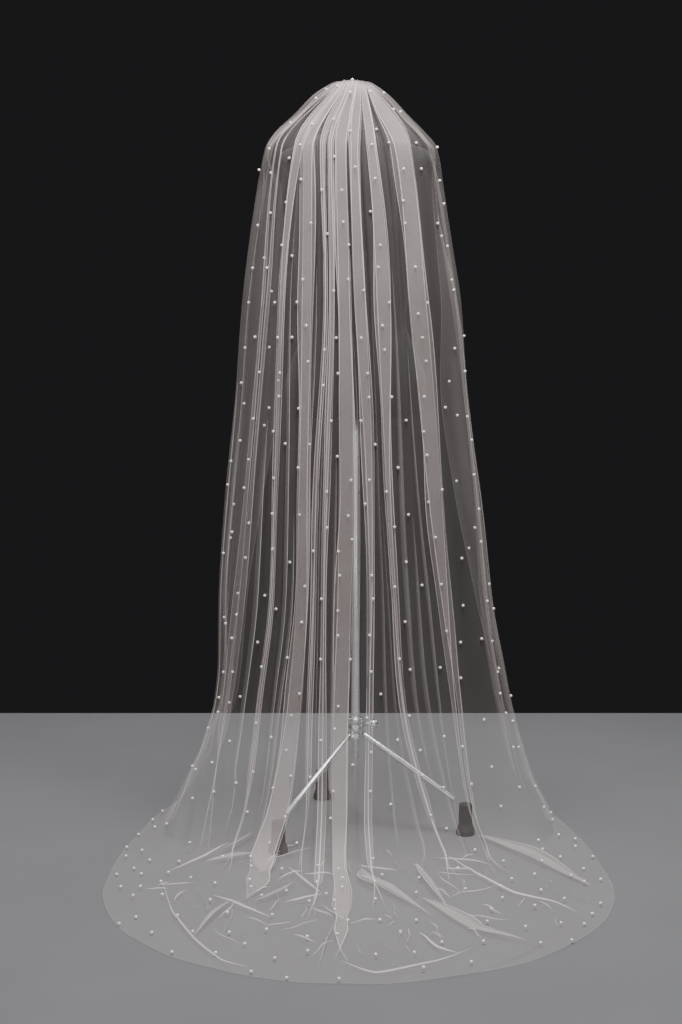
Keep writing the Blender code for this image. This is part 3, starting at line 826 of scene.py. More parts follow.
TUCKS = (
    Tuck(((-0.300, 0.000), (-0.345, -0.150), (-0.415, -0.285)), 0.0026, 0.0037),
    Tuck(((-0.280, -0.145), (-0.330, -0.250), (-0.404, -0.356)), -0.0026, 0.0031),
    Tuck(((-0.226, -0.060), (-0.270, -0.160), (-0.316, -0.243)), 0.0140, 0.0080),
    Tuck(((-0.221, -0.228), (-0.270, -0.270), (-0.326, -0.286)), -0.0180, 0.0060),
    Tuck(((-0.411, -0.410), (-0.368, -0.619), (-0.318, -0.757), (-0.253, -0.885), (-0.191, -0.921)),
         0.0026, 0.0031),
    Tuck(((-0.315, -0.757), (-0.292, -0.631), (-0.262, -0.564), (-0.234, -0.552)), -0.0140, 0.0070),
    Tuck(((-0.293, -0.508), (-0.225, -0.590), (-0.160, -0.654)), 0.0030, 0.0031),
    Tuck(((-0.207, -0.552), (-0.166, -0.495), (-0.118, -0.417)), -0.0160, 0.0060),
    Tuck(((-0.142, -0.321), (-0.100, -0.430), (-0.064, -0.508)), 0.0030, 0.0037),
    Tuck(((-0.064, -0.508), (-0.110, -0.545), (-0.143, -0.558)), -0.0026, 0.0025),
    Tuck(((-0.024, -0.607), (-0.053, -0.768), (-0.070, -0.936)), 0.0026, 0.0031),
    Tuck(((0.020, -0.330), (0.048, -0.400), (0.082, -0.456), (0.157, -0.636)), -0.0420, 0.0070),
    Tuck(((0.142, -0.527), (0.190, -0.650), (0.232, -0.723), (0.334, -0.784)), 0.0400, 0.0060),
    Tuck(((0.140, -0.290), (0.168, -0.417), (0.194, -0.601)), -0.0190, 0.0070),
    Tuck(((0.205, -0.230), (0.262, -0.370), (0.332, -0.495), (0.412, -0.564), (0.459, -0.625)),
         0.0030, 0.0031),
    Tuck(((0.290, -0.090), (0.390, -0.270), (0.505, -0.456)), 0.0460, 0.0090),
    Tuck(((0.401, -0.456), (0.440, -0.500), (0.480, -0.533), (0.515, -0.533)), -0.0023, 0.0025),
    Tuck(((-0.028, -0.890), (0.039, -0.951), (0.152, -0.900), (0.225, -0.817)), 0.0023, 0.0025),
    Tuck(((0.214, -0.926), (0.290, -0.870), (0.338, -0.817), (0.391, -0.712)), -0.0023, 0.0025),
    Tuck(((0.126, -0.723), (0.156, -0.817), (0.198, -0.849)), 0.0030, 0.0031),
)
BROAD_REACH = 0.012
# Inside of a broad tuck, to which the line along its crest leans.
TUCK_INSIDE = (0.5, 0.6)
# Sections of a broad tuck's two layers: shares of its reach and of its height.
TUCK_SECTIONS = (
    ((0.0, 0.0), (0.5, 0.8), (1.0, 1.0), (0.5, 0.45), (0.05, 0.03)),
    ((0.08, 0.1), (0.5, 0.7), (0.97, 0.9), (0.5, 0.55), (0.1, 0.08)),
)


@dataclass(frozen=True)
class LoosePleat:
    """A soft pleat that hangs between two folds.

    stretch: which stretch it hangs in; starts and ends: its place across the
    stretch, as a share, at its two ends; top and bottom: their travels; width: as a
    share of the stretch.
    """

    stretch: int
    starts: float
    ends: float
    top: float
    bottom: float
    width: float


LOOSE_PLEATS = (
    LoosePleat(0, 0.40, 0.45, 0.14, 0.62, 0.12),
    LoosePleat(0, 0.70, 0.62, 0.30, 0.70, 0.10),
    LoosePleat(1, 0.50, 0.50, 0.33, 0.70, 0.16),
    LoosePleat(2, 0.42, 0.55, 0.16, 0.68, 0.14),
    LoosePleat(2, 0.78, 0.70, 0.42, 0.71, 0.09),
    LoosePleat(3, 0.45, 0.50, 0.20, 0.60, 0.24),
    LoosePleat(4, 0.50, 0.50, 0.28, 0.65, 0.24),
    LoosePleat(5, 0.50, 0.45, 0.36, 0.70, 0.22),
    LoosePleat(6, 0.50, 0.50, 0.26, 0.66, 0.24),
    LoosePleat(7, 0.45, 0.40, 0.22, 0.70, 0.16),
    LoosePleat(7, 0.76, 0.82, 0.40, 0.72, 0.10),
    LoosePleat(8, 0.24, 0.20, 0.20, 0.66, 0.10),
    LoosePleat(8, 0.44, 0.48, 0.42, 0.72, 0.07),
    LoosePleat(8, 0.66, 0.72, 0.27, 0.69, 0.09),
    LoosePleat(9, 0.30, 0.36, 0.15, 0.66, 0.11),
    LoosePleat(9, 0.62, 0.58, 0.30, 0.70, 0.09),
)
# Section of a loose pleat: shares of its half width and of its rise.
PLEAT_SECTION = ((-1.0, 0.0), (-0.3, 1.2), (0.7, 1.0), (1.0, 0.4), (0.0, 0.3))


@dataclass(frozen=True)
class Swell:
    """Slow waves of the train over the floor.

    axis: 0 where they follow one another along x, 1 along y; height: half of theirs;
    rate and phase: of the waves; sway and sway_rate: how they bend from side to side.
    """

    axis: int
    height: float
    rate: float
    phase: float
    sway: float
    sway_rate: float

    def at(self, spots: np.ndarray) -> np.ndarray:
        """Return how high the cloth stands at some spots."""
        bend = self.sway * np.sin(self.sway_rate * spots[:, 1 - self.axis])
        return self.height * (1.0 + np.sin(self.rate * spots[:, self.axis] + bend + self.phase))


SWELLS = (Swell(0, 0.0013, 13.0, 0.4, 3.0, 7.0), Swell(1, 0.0011, 19.0, 2.1, 4.0, 9.0))


@dataclass(frozen=True)
class SmallTucks:
    """Seeded short tucks strewn over the train between the long ones."""

    count: int = 110
    shortest: float = 0.03
    longest: float = 0.15
    height: float = 0.0024
    reach: float = 0.0013
    centre: tuple[float, float] = (0.01, -0.53)
    spread: tuple[float, float] = (0.46, 0.38)
    away: tuple[float, float] = (0.05, 0.9)
    stray: float = 0.65
    bend: float = 0.15
    bend_places: tuple[float, float] = (-0.3, 0.4)
    sizes: tuple[float, float] = (0.5, 1.3)
    seed: int = 5

    def lay(self) -> list[Tuck]:
        """Strew the tucks, most of them running towards the hem.

        Returns:
            The tucks.
        """
        chance = random.Random(self.seed)
        made = []
        for _ in range(self.count):
            turn = chance.uniform(-math.pi, math.pi)
            away = math.sqrt(chance.uniform(*self.away))
            x = self.centre[0] + self.spread[0] * away * math.cos(turn)
            y = self.centre[1] + self.spread[1] * away * math.sin(turn)
            heading = math.atan2(y, x) + chance.gauss(0.0, self.stray)
            half = chance.uniform(self.shortest, self.longest) / 2.0
            bends = [chance.uniform(-self.bend, self.bend) * half for _ in self.bend_places]
            ahead = np.array((math.cos(heading), math.sin(heading)))
            aside = np.array((-ahead[1], ahead[0]))
            middle = np.array((x, y))
            line = [middle - ahead * half]
            for place, bend in zip(self.bend_places, bends):
                line.append(middle + ahead * half * place + aside * bend)
            line.append(middle + ahead * half)
            points = tuple((float(spot[0]), float(spot[1])) for spot in line)
            size = chance.uniform(*self.sizes)
            made.append(Tuck(points, self.reach * size * chance.choice((-1, 1)), self.height * size))
        return made


def smooth_line(knots: Sequence[tuple[float, float]], count: int) -> np.ndarray:
    """Draw a line through some points, with its corners half rounded.

    Args:
        knots: the points, in order.
        count: number of points on the curve.

    Returns:
        One row of x, y for each point of the curve.
    """
    line = np.array(knots)
    line = np.vstack([2.0 * line[0] - line[1], line, 2.0 * line[-1] - line[-2]])
    drawn = []
    for at in np.linspace(0.0, len(knots) - 1.0, count):
        step = min(int(at), len(knots) - 2)
        t = at - step
        before, start, end, after = line[step : step + 4]
        curve = 0.5 * (
            2.0 * start + (end - before) * t + (2.0 * before - 5.0 * start + 4.0 * end - after) * t**2
            + (3.0 * start - before - 3.0 * end + after) * t**3
        )
        drawn.append(0.5 * curve + 0.5 * (start + (end - start) * t))
    return np.array(drawn)


class Strips:
    """Gathers strips of quads for one mesh."""

    def __init__(self) -> None:
        """Start with no strip."""
        self.points: list[np.ndarray] = []
        self.faces: list[tuple[int, ...]] = []

    def add(self, *lines: np.ndarray) -> None:
        """Span some lines of equal length, each joined to the next."""
        base = len(self.points)
        count = len(lines[0])
        for order, line in enumerate(lines):
            self.points.extend(line)
            if order:
                for step in range(count - 1):
                    corner = base + (order - 1) * count + step
                    self.faces.append((corner, corner + 1, corner + count + 1, corner + count))


class Outline:
    """The outline of the cloth, without its folds, at one travel."""

    travels = [row.travel for row in LEVELS]

    def __init__(self, travel: float) -> None:
        """Read every column of LEVELS.

        Args:
            travel: share of the veil's length.
        """
        self.travel = travel
        self.height = self.read("height")
        self.left = self.read("left")
        self.right = self.read("right")
        self.middle = self.read("middle")
        self.back = self.read("back")
        self.front = self.read("front")
        self.wrap_left = math.radians(self.read("wrap_left"))
        self.wrap_right = math.radians(self.read("wrap_right"))

    def read(self, column: str) -> float:
        """Read one column of LEVELS at this travel."""
        return monotone(self.travels, [getattr(row, column) for row in LEVELS], self.travel)

    def half_width(self, angles: np.ndarray) -> np.ndarray:
        """Blend the left and right half widths across the middle."""
        share = 0.5 + 0.5 * np.sin(np.clip(angles, -math.pi / 2, math.pi / 2))
        return self.left + (self.right - self.left) * share

    def oval(self, angles: np.ndarray) -> np.ndarray:
        """Find points on this outline's own oval.

        Args:
            angles: from the middle of the back.

        Returns:
            One row of x, y, z for each angle.
        """
        depth = np.where(np.cos(angles) > 0.0, self.back, self.front)
        across = self.half_width(angles) * np.sin(angles)
        sag = CREST_SAG * (1.0 - ease_over(self.travel, *CREST_RISES))
        height = self.height - sag * np.sin(angles) ** 2
        return np.stack([across, self.middle - depth * np.cos(angles), height], 1)

    def angle_at(self, across: float) -> float:
        """Return the angle whose point lies this far across the back."""
        half = self.right if across > 0.0 else self.left
        return math.asin(max(-OUTER_SINE, min(OUTER_SINE, across / half)))

    def angle_step(self, angle: float, length: float) -> float:
        """Turn a length across the back into an angle."""
        half = float(self.half_width(np.array([angle]))[0])
        return length / (half * max(LEAST_COSINE, math.cos(angle)))


TOUCH = Outline(TOUCH_TRAVEL)
HEM = Outline(1.0)


def fanned(angles: np.ndarray) -> np.ndarray:
    """Spread angles of the touching line out to the hem.

    Args:
        angles: on the line where the cloth meets the floor.

    Returns:
        The angles of the same threads on the hem.
    """
    start = np.where(angles > 0.0, TOUCH.wrap_right, TOUCH.wrap_left)
    end = np.where(angles > 0.0, HEM.wrap_right, HEM.wrap_left)
    share = np.minimum(np.abs(angles) / start, 1.0)
    spread = math.radians(FAN_ANGLE) * FAN_PEAK * share * share * (1.0 - share)
    return np.copysign(share * end + spread, angles)


def unfolded(travel: float, angles: np.ndarray) -> np.ndarray:
    """Return the points of the cloth without its folds.

    Args:
        travel: share of the veil's length.
        angles: from the middle of the back.

    Returns:
        One row of x, y, z for each angle.
    """
    outline = Outline(travel)
    if travel <= TOUCH_TRAVEL:
        return outline.oval(angles)
    share = (travel - TOUCH_TRAVEL) / (1.0 - TOUCH_TRAVEL)
    points = TOUCH.oval(angles) * (1.0 - share) + HEM.oval(fanned(angles)) * share
    points[:, 2] = outline.height
    return points


def outward(travel: float, angles: np.ndarray) -> np.ndarray:
    """Return the outward normals of the unfolded cloth.

    Args:
        travel: share of the veil's length.
        angles: from the middle of the back.

    Returns:
        One unit vector for each angle.
    """
    nudge_travel = 0.004
    nudge_angle = 0.02
    low = unfolded(max(0.0, travel - nudge_travel), angles)
    high = unfolded(min(1.0, travel + nudge_travel), angles)
    across = unfolded(travel, angles + nudge_angle) - unfolded(travel, angles - nudge_angle)
    normals = np.cross(high - low, across)
    return normals / np.maximum(np.linalg.norm(normals, axis=1, keepdims=True), 1e-9)


def between_columns(grid: np.ndarray, at: np.ndarray) -> np.ndarray:
    """Read a grid at a column of its own for each row.

    Args:
        grid: values by row and column.
        at: the column wanted in each row, whole or between two.

    Returns:
        One value for each row.
    """
    low = np.clip(at.astype(int), 0, grid.shape[1] - 2)
    rows = np.arange(len(grid))
    part = (at - low)[:, None]
    return grid[rows, low] * (1.0 - part) + grid[rows, low + 1] * part


@dataclass(frozen=True)
class FoldState:
    """Where a fold is at one travel: angles of its middle and half width, and shape.

    overlap runs to 0 where the fold ends, and single to 1 where only three of its
    five layers are left.
    """

    middle: float
    half: float
    overlap: float
    depth: float
    single: float

    @classmethod
    def of(cls, fold: Fold, order: int, outline: Outline) -> "FoldState":
        """Read a fold at one outline.

        Args:
            fold: the fold's row.
            order: its place among the folds, from the left.
            outline: the outline at the wanted travel.

        Returns:
            Its state there.
        """
        travel = outline.travel
        spread = GATHER_WIDTH * CROWN_SPREAD
        crown_middle = -spread + 2.0 * spread * (order + 0.5) / len(FOLDS)
        keys = [-CROWN_HEIGHT] + [-height for height in FOLD_HEIGHTS]
        at = -outline.height if travel > LEVELS[1].travel else -CROWN_HEIGHT
        middle = outline.angle_at(monotone(keys, [crown_middle, *fold.middles], at))
        width = monotone(keys, [CROWN_FOLD_WIDTH, *fold.widths], at)
        width *= 1.0 + CROWN_FULLNESS * float(ease_over(-at, *CROWN_FULL))
        opened = float(ease_over(travel, *FOLDS_OPEN))
        depth = CROWN_FOLD_DEPTH + (fold.depth - CROWN_FOLD_DEPTH) * opened
        if travel > TOUCH_TRAVEL:
            share = float(ease_over(travel, *FOLDS_FAN))
            middle += (math.radians(fold.train_angle) - middle) * share
        overlap = min(max((fold.train_end - travel) / TIP_TRAVEL, 0.0), 1.0)
        lying = float(ease_over(travel, *FOLDS_LIE))
        depth += (TRAIN_FOLD_DEPTH - depth) * lying
        depth *= 1.0 - float(ease_over(travel, fold.train_end - FLAT_BEFORE_END, END_LENGTH))
        single = float(fold.single(travel))
        return cls(middle, outline.angle_step(middle, width / 2.0), overlap, depth, single)


def last_point(pieces: Sequence[tuple[np.ndarray, ...]]) -> tuple[float, ...]:
    """Return the angle, level and lift of the last point laid so far."""
    return tuple(float(values[-1]) for values in pieces[-1])


@dataclass
class Veil:
    """The veil: one gathered sheet of tulle, its rolled edge and its pearls."""

    origin: Vector
    crown_rows: int = 26
    hanging_rows: int = 60
    train_rows: int = 98
    fold_steps: int = 24
    edge_columns: int = 34
    stretch_columns: int = 12
    fold_run: float = 0.011
    lying_run: float = 0.120
    run_share: float = 0.30
    lying_run_share: float = 0.47
    edge_radius: float = 0.00025
    turn_width: float = 0.0022
    pleat_rise: float = 0.0045
    pleat_roundness: float = 0.8
    pleat_turn_share: float = 0.35
    tuck_steps: int = 26
    tuck_breadth: float = 0.014
    tuck_carry: float = 0.6
    tuck_skew: float = 0.85
    tuck_roundness: float = 1.15
    pearl_radius: float = 0.0033
    pearls_per_square_metre: float = 92.0
    pearl_gap: float = 0.066
    pearl_space: float = 0.040
    top_pearl_row: int = 4
    pearl_lift: float = 0.9
    pearl_tries: int = 30
    floor_gap: float = 0.0010
    seed: int = 11

    def __post_init__(self) -> None:
        """List all tucks of the train, the long ones and the small ones."""
        self.tucks = list(TUCKS) + SmallTucks().lay()

    def columns_of(self, stretch: int) -> int:
        """Return how many points a stretch has, the outer two having more."""
        return self.edge_columns if stretch in (0, len(FOLDS)) else self.stretch_columns

    def travels(self) -> list[float]:
        """List the travels of all rows, closer together where the cloth bends.

        Returns:
            Shares of the veil's length, from the gathers down to the hem.
        """
        crown = [SHOULDER_TRAVEL * step / self.crown_rows for step in range(self.crown_rows)]
        fall = TOUCH_TRAVEL - SHOULDER_TRAVEL
        hanging = [SHOULDER_TRAVEL + fall * step / self.hanging_rows for step in range(self.hanging_rows)]
        rest = 1.0 - TOUCH_TRAVEL
        train = [TOUCH_TRAVEL + rest * step / self.train_rows for step in range(self.train_rows + 1)]
        return crown + hanging + train

    def lay_fold(
        self, fold: Fold, state: FoldState, order: int, travel: float, run: float
    ) -> tuple[np.ndarray, np.ndarray, np.ndarray]:
        """Lay one fold double, five layers thick.

        Args:
            fold: the fold's row.
            state: where it is at this travel.
            order: its place among the folds.
            travel: share of the veil's length.
            run: angle that the fold takes up, apart from its laps.

        Returns:
            Angles, fold levels and lifts of its points.
        """
        share = np.linspace(0.0, 1.0, self.fold_steps + 1)
        first = FIRST_LAP + sum(ripple.at(travel, order) for ripple in FIRST_LAP_RIPPLES)
        second = SECOND_LAP + SECOND_LAP_RIPPLE.at(travel, order)
        reach = np.interp(share, LAP_PLACES, (1, 1, first, second, 1, 1))
        swing = (state.half + run / 2.0) * state.overlap
        laps = reach * np.sin(4.0 * math.pi * share) * (1.0 - state.single)
        laps += np.sin(2.0 * math.pi * share) * state.single
        angles = state.middle + run * (2.0 * share - 1.0) + swing * laps
        levels = fold.turn.value * state.depth * np.cos(math.pi * share)
        return angles, levels, np.full(share.shape, state.depth)

    def lay_stretch(
        self,
        start: tuple[float, float, float],
        end: tuple[float, float, float],
        order: int,
        travel: float,
    ) -> tuple[np.ndarray, np.ndarray, np.ndarray]:
        """Lay the cloth between two folds in small gathers that open on the way down.

        Args:
            start: angle, level and lift of the point before it.
            end: angle, level and lift of the point after it.
            order: place of the stretch, from the left.
            travel: share of the veil's length.

        Returns:
            Angles, levels and lifts of its points.
        """
        gather = GATHERS[order]
        columns = self.columns_of(order)
        share = np.arange(1, columns + 1) / (columns + 1)
        eased = ease(share)
        opened = float(ease_over(travel, GATHERS_OPEN, gather.opens))
        lying = float(ease_over(travel, *GATHERS_LIE))
        lap = gather.lap + (OPEN_LAP - gather.lap) * opened
        slack = (CROWN_SLACK + (gather.slack - CROWN_SLACK) * opened) * (1.0 - lying)
        window = ease(share / STRETCH_MARGIN) * ease((1.0 - share) / STRETCH_MARGIN)
        drift = gather.drift * GATHER_RIPPLE.at(travel, order) * np.sin(2.0 * math.pi * share)
        phase = 2.0 * math.pi * gather.count * share + drift * 2.0 * math.pi
        turned = lap / (2.0 * math.pi * gather.count) * np.sin(2.0 * phase) * window * LAP_HOLD
        spot = share + turned * (1.0 - lying)
        angles = start[0] + (end[0] - start[0]) * spot
        levels = start[1] + (end[1] - start[1]) * eased + slack * np.cos(phase) * window
        lifts = start[2] + (end[2] - start[2]) * eased
        return angles, levels, lifts

    def section(self, travel: float) -> np.ndarray:
        """Return the points of the cloth at one travel, left edge first.

        Args:
            travel: share of the veil's length.

        Returns:
            One row of x, y, z for each point, from the line beside the pole.
        """
        outline = Outline(travel)
        ends = outline if travel <= TOUCH_TRAVEL else TOUCH
        states = [FoldState.of(fold, order, outline) for order, fold in enumerate(FOLDS)]
        left, right = -ends.wrap_left, ends.wrap_right
        bounds = [left] + [state.middle for state in states] + [right]
        pieces = [(np.array([left]), np.zeros(1), np.zeros(1))]
        for order, (fold, state) in enumerate(zip(FOLDS, states)):
            room = min(state.middle - bounds[order], bounds[order + 2] - state.middle)
            length = self.fold_run + (self.lying_run - self.fold_run) * (1.0 - state.overlap)
            reach = self.run_share + (self.lying_run_share - self.run_share) * (1.0 - state.overlap)
            run = min(outline.angle_step(state.middle, length), reach * room)
            band = self.lay_fold(fold, state, order, travel, run)
            after = tuple(float(values[0]) for values in band)
            pieces.append(self.lay_stretch(last_point(pieces), after, order, travel))
            pieces.append(band)
        edge = (right, 0.0, 0.0)
        pieces.append(self.lay_stretch(last_point(pieces), edge, len(FOLDS), travel))
        pieces.append((np.array([right]), np.zeros(1), np.zeros(1)))
        angles, levels, lifts = (np.concatenate(parts) for parts in zip(*pieces))
        return self.place(travel, angles, levels, lifts)

    def place(
        self, travel: float, angles: np.ndarray, levels: np.ndarray, lifts: np.ndarray
    ) -> np.ndarray:
        """Move points out by their fold levels, and up in swells where they lie.

        Args:
            travel: share of the veil's length.
            angles: of the points, from the middle of the back.
            levels: how far out each lies in its fold.
            lifts: how far each is lifted off the floor.

        Returns:
            One row of x, y, z for each point, from the line beside the pole.
        """
        lying = float(ease_over(travel, *SWELLS_RISE))
        offset = levels + lying * lifts
        points = unfolded(travel, angles) + outward(travel, angles) * offset[:, None]
        if lying > 0.0:
            points[:, 2] += lying * self.swell(points[:, :2])
        points[:, 2] = np.maximum(points[:, 2], self.floor_gap)
        return points

    def swell(self, spots: np.ndarray) -> np.ndarray:
        """Return how far the train stands off the floor at some spots.

        Args:
            spots: one row of x, y for each.

        Returns:
            The heights of its slow swells and of the rises that carry its tucks.
        """
        height = sum(swell.at(spots) for swell in SWELLS)
        for tuck in self.tucks:
            line = np.array(tuck.line)
            steps = np.diff(line, axis=0)
            lengths = np.linalg.norm(steps, axis=1)
            best = np.full(len(spots), 1e9)
            along = np.zeros(len(spots))
            travelled = 0.0
            for start, step, length in zip(line[:-1], steps, lengths):
                share = np.clip((spots - start) @ step / length**2, 0.0, 1.0)
                distance = np.linalg.norm(spots - (start + share[:, None] * step), axis=1)
                nearer = distance < best
                best[nearer] = distance[nearer]
                along[nearer] = (travelled + share[nearer] * length) / lengths.sum()
                travelled += length
            rise = self.tuck_carry * tuck.height * np.sin(math.pi * along)
            height += rise * np.exp(-((best / self.tuck_breadth) ** 2))
        return height

    def grid(self) -> np.ndarray:
        """Return all points of the sheet, in the frame's metres."""
        rows = np.stack([self.section(travel) for travel in self.travels()])
        return rows + np.array(self.origin)

    def weave(self, grid: np.ndarray) -> bpy.types.Object:
        """Build the sheet, open all round.

        Args:
            grid: points by row and column.

        Returns:
            The veil.
        """
        rows, width, _ = grid.shape
        corner = (np.arange(rows - 1)[:, None] * width + np.arange(width - 1)[None, :]).ravel()
        faces = np.stack([corner, corner + width, corner + width + 1, corner + 1], 1)
        mesh = smooth_mesh("tulle_veil", grid.reshape(-1, 3), faces)
        veil = link_piece("tulle_veil", mesh, TULLE, Slot.TULLE)
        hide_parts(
            "veil_crown", "veil_fall_left", "veil_fall_back", "veil_fall_right", "veil_train"
        )
        return veil

    def lay_tucks(self, turned: Strips) -> bpy.types.Object:
        """Lay the tucks of the train on its swells.

        Args:
            turned: takes the crests and the small tucks.

        Returns:
            The broad tucks, each of two more layers of the cloth.
        """
        broad = Strips()
        share = np.linspace(0.0, 1.0, self.tuck_steps)
        taper = (np.sin(math.pi * share**self.tuck_skew) ** self.tuck_roundness)[:, None]
        for tuck in self.tucks:
            line = smooth_line(tuck.line, self.tuck_steps)
            ahead = np.gradient(line, axis=0)
            ahead /= np.linalg.norm(ahead, axis=1, keepdims=True)
            aside = np.c_[-ahead[:, 1], ahead[:, 0]]

            def rise(reach: float, lift: float) -> np.ndarray:
                """Draw a line along the tuck.

                Args:
                    reach: how far to its side, as a share of its reach.
                    lift: how high, as a share of its height.

                Returns:
                    One row of x, y, z for each point.
                """
                spots = line + aside * tuck.reach * reach * taper
                low = self.swell(spots) + LEVELS[-2].height
                height = low + self.floor_gap + tuck.height * lift * taper[:, 0]
                return np.c_[spots, height] + np.array(self.origin)

            crest = rise(1.0, 1.0)
            if abs(tuck.reach) < BROAD_REACH:
                turned.add(rise(0.0, 0.0), crest)
                continue
            for section in TUCK_SECTIONS:
                broad.add(*(rise(reach, lift) for reach, lift in section))
            inner = crest + (rise(*TUCK_INSIDE) - crest) * min(1.0, 2.0 * self.turn_width / abs(tuck.reach))
            turned.add(crest, inner)
        mesh = smooth_mesh("laid_tucks", broad.points, broad.faces)
        return link_piece("laid_tucks", mesh, TULLE, Slot.TULLE)

    def hang_pleats(self, grid: np.ndarray, turned: Strips) -> bpy.types.Object:
        """Hang the loose pleats between the folds.

        Args:
            grid: points by row and column.
            turned: takes their turned edges.

        Returns:
            The loose pleats.
        """
        travels = np.array(self.travels())
        loose = Strips()
        for order, pleat in enumerate(LOOSE_PLEATS):
            columns = self.columns_of(pleat.stretch)
            first = pleat.stretch * (self.fold_steps + 1 + self.stretch_columns)
            first += self.edge_columns - self.stretch_columns if pleat.stretch else 0
            shown = (travels >= pleat.top) & (travels <= pleat.bottom)
            rows = grid[shown]
            share = (travels[shown] - pleat.top) / (pleat.bottom - pleat.top)
            taper = np.sin(math.pi * share) ** self.pleat_roundness
            middle = pleat.starts + (pleat.ends - pleat.starts) * share
            middle = middle + PLEAT_RIPPLE.at(share, order)
            away = rows[:, :, :2] - np.array(self.origin)[:2]

            def hung(side: float, rise: float) -> np.ndarray:
                """Draw a line down the pleat.

                Args:
                    side: how far to its side, as a share of its half width.
                    rise: how far out, as a share of its rise.

                Returns:
                    One row of x, y, z for each point.
                """
                at = first + (columns + 1) * (middle + side * 0.5 * pleat.width * taper)
                points = between_columns(rows, at)
                way = between_columns(away, at)
                way = way / np.maximum(np.linalg.norm(way, axis=1, keepdims=True), 1e-9)
                points[:, :2] += way * (self.floor_gap + rise * taper * self.pleat_rise)[:, None]
                return points

            lines = [hung(side, rise) for side, rise in PLEAT_SECTION]
            loose.add(*lines)
            outer, turn = lines[2:4]
            turned.add(turn, turn + (outer - turn) * self.pleat_turn_share)
        mesh = smooth_mesh("loose_pleats", loose.points, loose.faces)
        return link_piece("loose_pleats", mesh, TULLE, Slot.TULLE)

    def turn_folds(self, grid: np.ndarray, turned: Strips) -> None:
        """Line the turns of every fold, where the net is seen edge on, with the denser tulle whose lighter
        tone is a painted highlight.

        Args:
            grid: points by row and column.
            turned: takes the lines.
        """
        travels = np.array(self.travels())
        column = 1
        for order, fold in enumerate(FOLDS):
            column += self.columns_of(order)
            for turn in TURN_EIGHTHS:
                outer = turn in (TURN_EIGHTHS[0], TURN_EIGHTHS[-1])
                step = turn + (fold.single(travels) * (1.0 if turn < 4 else -1.0) if outer else 0.0)
                at = column + step * self.fold_steps / 8.0 + np.zeros(len(travels))
                crest = between_columns(grid, at)
                inward = (between_columns(grid, at - 1.0) + between_columns(grid, at + 1.0)) / 2.0 - crest
                inward /= np.maximum(np.linalg.norm(inward, axis=1, keepdims=True), 1e-9)
                wave = 1.0 - TURN_RIPPLE.size + TURN_RIPPLE.at(travels, order, TURN_OFFSET * turn)
                width = self.turn_width * wave * (1.0 if outer else INNER_TURN_SHARE)
                end = fold.train_end if outer else fold.train_end - TURN_FADE
                width *= ease_over(travels, *TURNS_SHOW) * ease((end - travels) / TURN_FADE)
                shown = width > 0.0
                turned.add(crest[shown], (crest + inward * width[:, None])[shown])
            column += self.fold_steps + 1

    def roll_edge(self, grid: np.ndarray) -> bpy.types.Object:
        """Roll the free edges and the hem into one fine cord of the tulle itself.

        Args:
            grid: points by row and column.

        Returns:
            The rolled edge.
        """
        route = np.concatenate([grid[:, 0], grid[-1, 1:-1], grid[::-1, -1]])
        curve = bpy.data.curves.new("rolled_edge", "CURVE")
        curve.dimensions = "3D"
        curve.bevel_depth = self.edge_radius
        curve.bevel_resolution = 1
        curve.use_fill_caps = True
        line = curve.splines.new("POLY")
        line.points.add(len(route) - 1)
        line.points.foreach_set("co", np.c_[route, np.ones(len(route))].ravel())
        return link_piece("rolled_edge", curve, TULLE_EDGE, Slot.TULLE)

    def strew_pearls(self, grid: np.ndarray) -> bpy.types.Object:
        """Sew pearls all over the outer face, and one on top of the crown.

        Args:
            grid: points by row and column.

        Returns:
            All pearls, joined.
        """
        spots = [(grid[self.top_pearl_row, grid.shape[1] // 2], UP)]
        spots += self.scatter(grid)
        points, faces = [], []
        bead = bmesh.new()
        bmesh.ops.create_icosphere(bead, subdivisions=2, radius=self.pearl_radius)
        corners = [vertex.co.copy() for vertex in bead.verts]
        sides = [[vertex.index for vertex in face.verts] for face in bead.faces]
        bead.free()
        for spot, normal in spots:
            base = len(points)
            centre = Vector(spot) + normal * self.pearl_radius * self.pearl_lift
            centre.z = max(centre.z, self.pearl_radius + self.floor_gap)
            points += [corner + centre for corner in corners]
            faces += [[base + index for index in side] for side in sides]
        LOG.info("pearls: %d", len(spots))
        mesh = smooth_mesh("pearls", points, faces)
        return link_piece("pearls", mesh, PEARL, Slot.TULLE)

    def scatter(self, grid: np.ndarray) -> list[tuple[np.ndarray, Vector]]:
        """Scatter spots evenly over the cloth, none nearer than the least distance.

        Args:
            grid: points by row and column.

        Returns:
            The place and the outward normal of each spot.
        """
        chance = random.Random(self.seed)
        across = np.linalg.norm(np.diff(grid, axis=1), axis=2)[:-1]
        down = np.linalg.norm(np.diff(grid, axis=0), axis=2)[:, :-1]
        area = (across * down).ravel()
        heap = np.cumsum(area)
        run_across = np.cumsum(across, axis=1) - 0.5 * across.sum(axis=1, keepdims=True)
        run_down = np.cumsum(down, axis=0)
        wanted = int(heap[-1] * self.pearls_per_square_metre)
        taken: list[tuple[float, float]] = []
        spots = []
        for _ in range(wanted * self.pearl_tries):
            if len(spots) == wanted:
                break
            cell = int(np.searchsorted(heap, chance.uniform(0.0, float(heap[-1]))))
            row, column = divmod(cell, across.shape[1])
            flat = (float(run_across[row, column]), float(run_down[row, column]))
            if any(math.dist(flat, other) < self.pearl_gap for other in taken):
                continue
            if any(np.linalg.norm(grid[row, column] - spot) < self.pearl_space for spot, _ in spots):
                continue
            taken.append(flat)
            spots.append((grid[row, column], self.facing(grid, row, column)))
        return spots

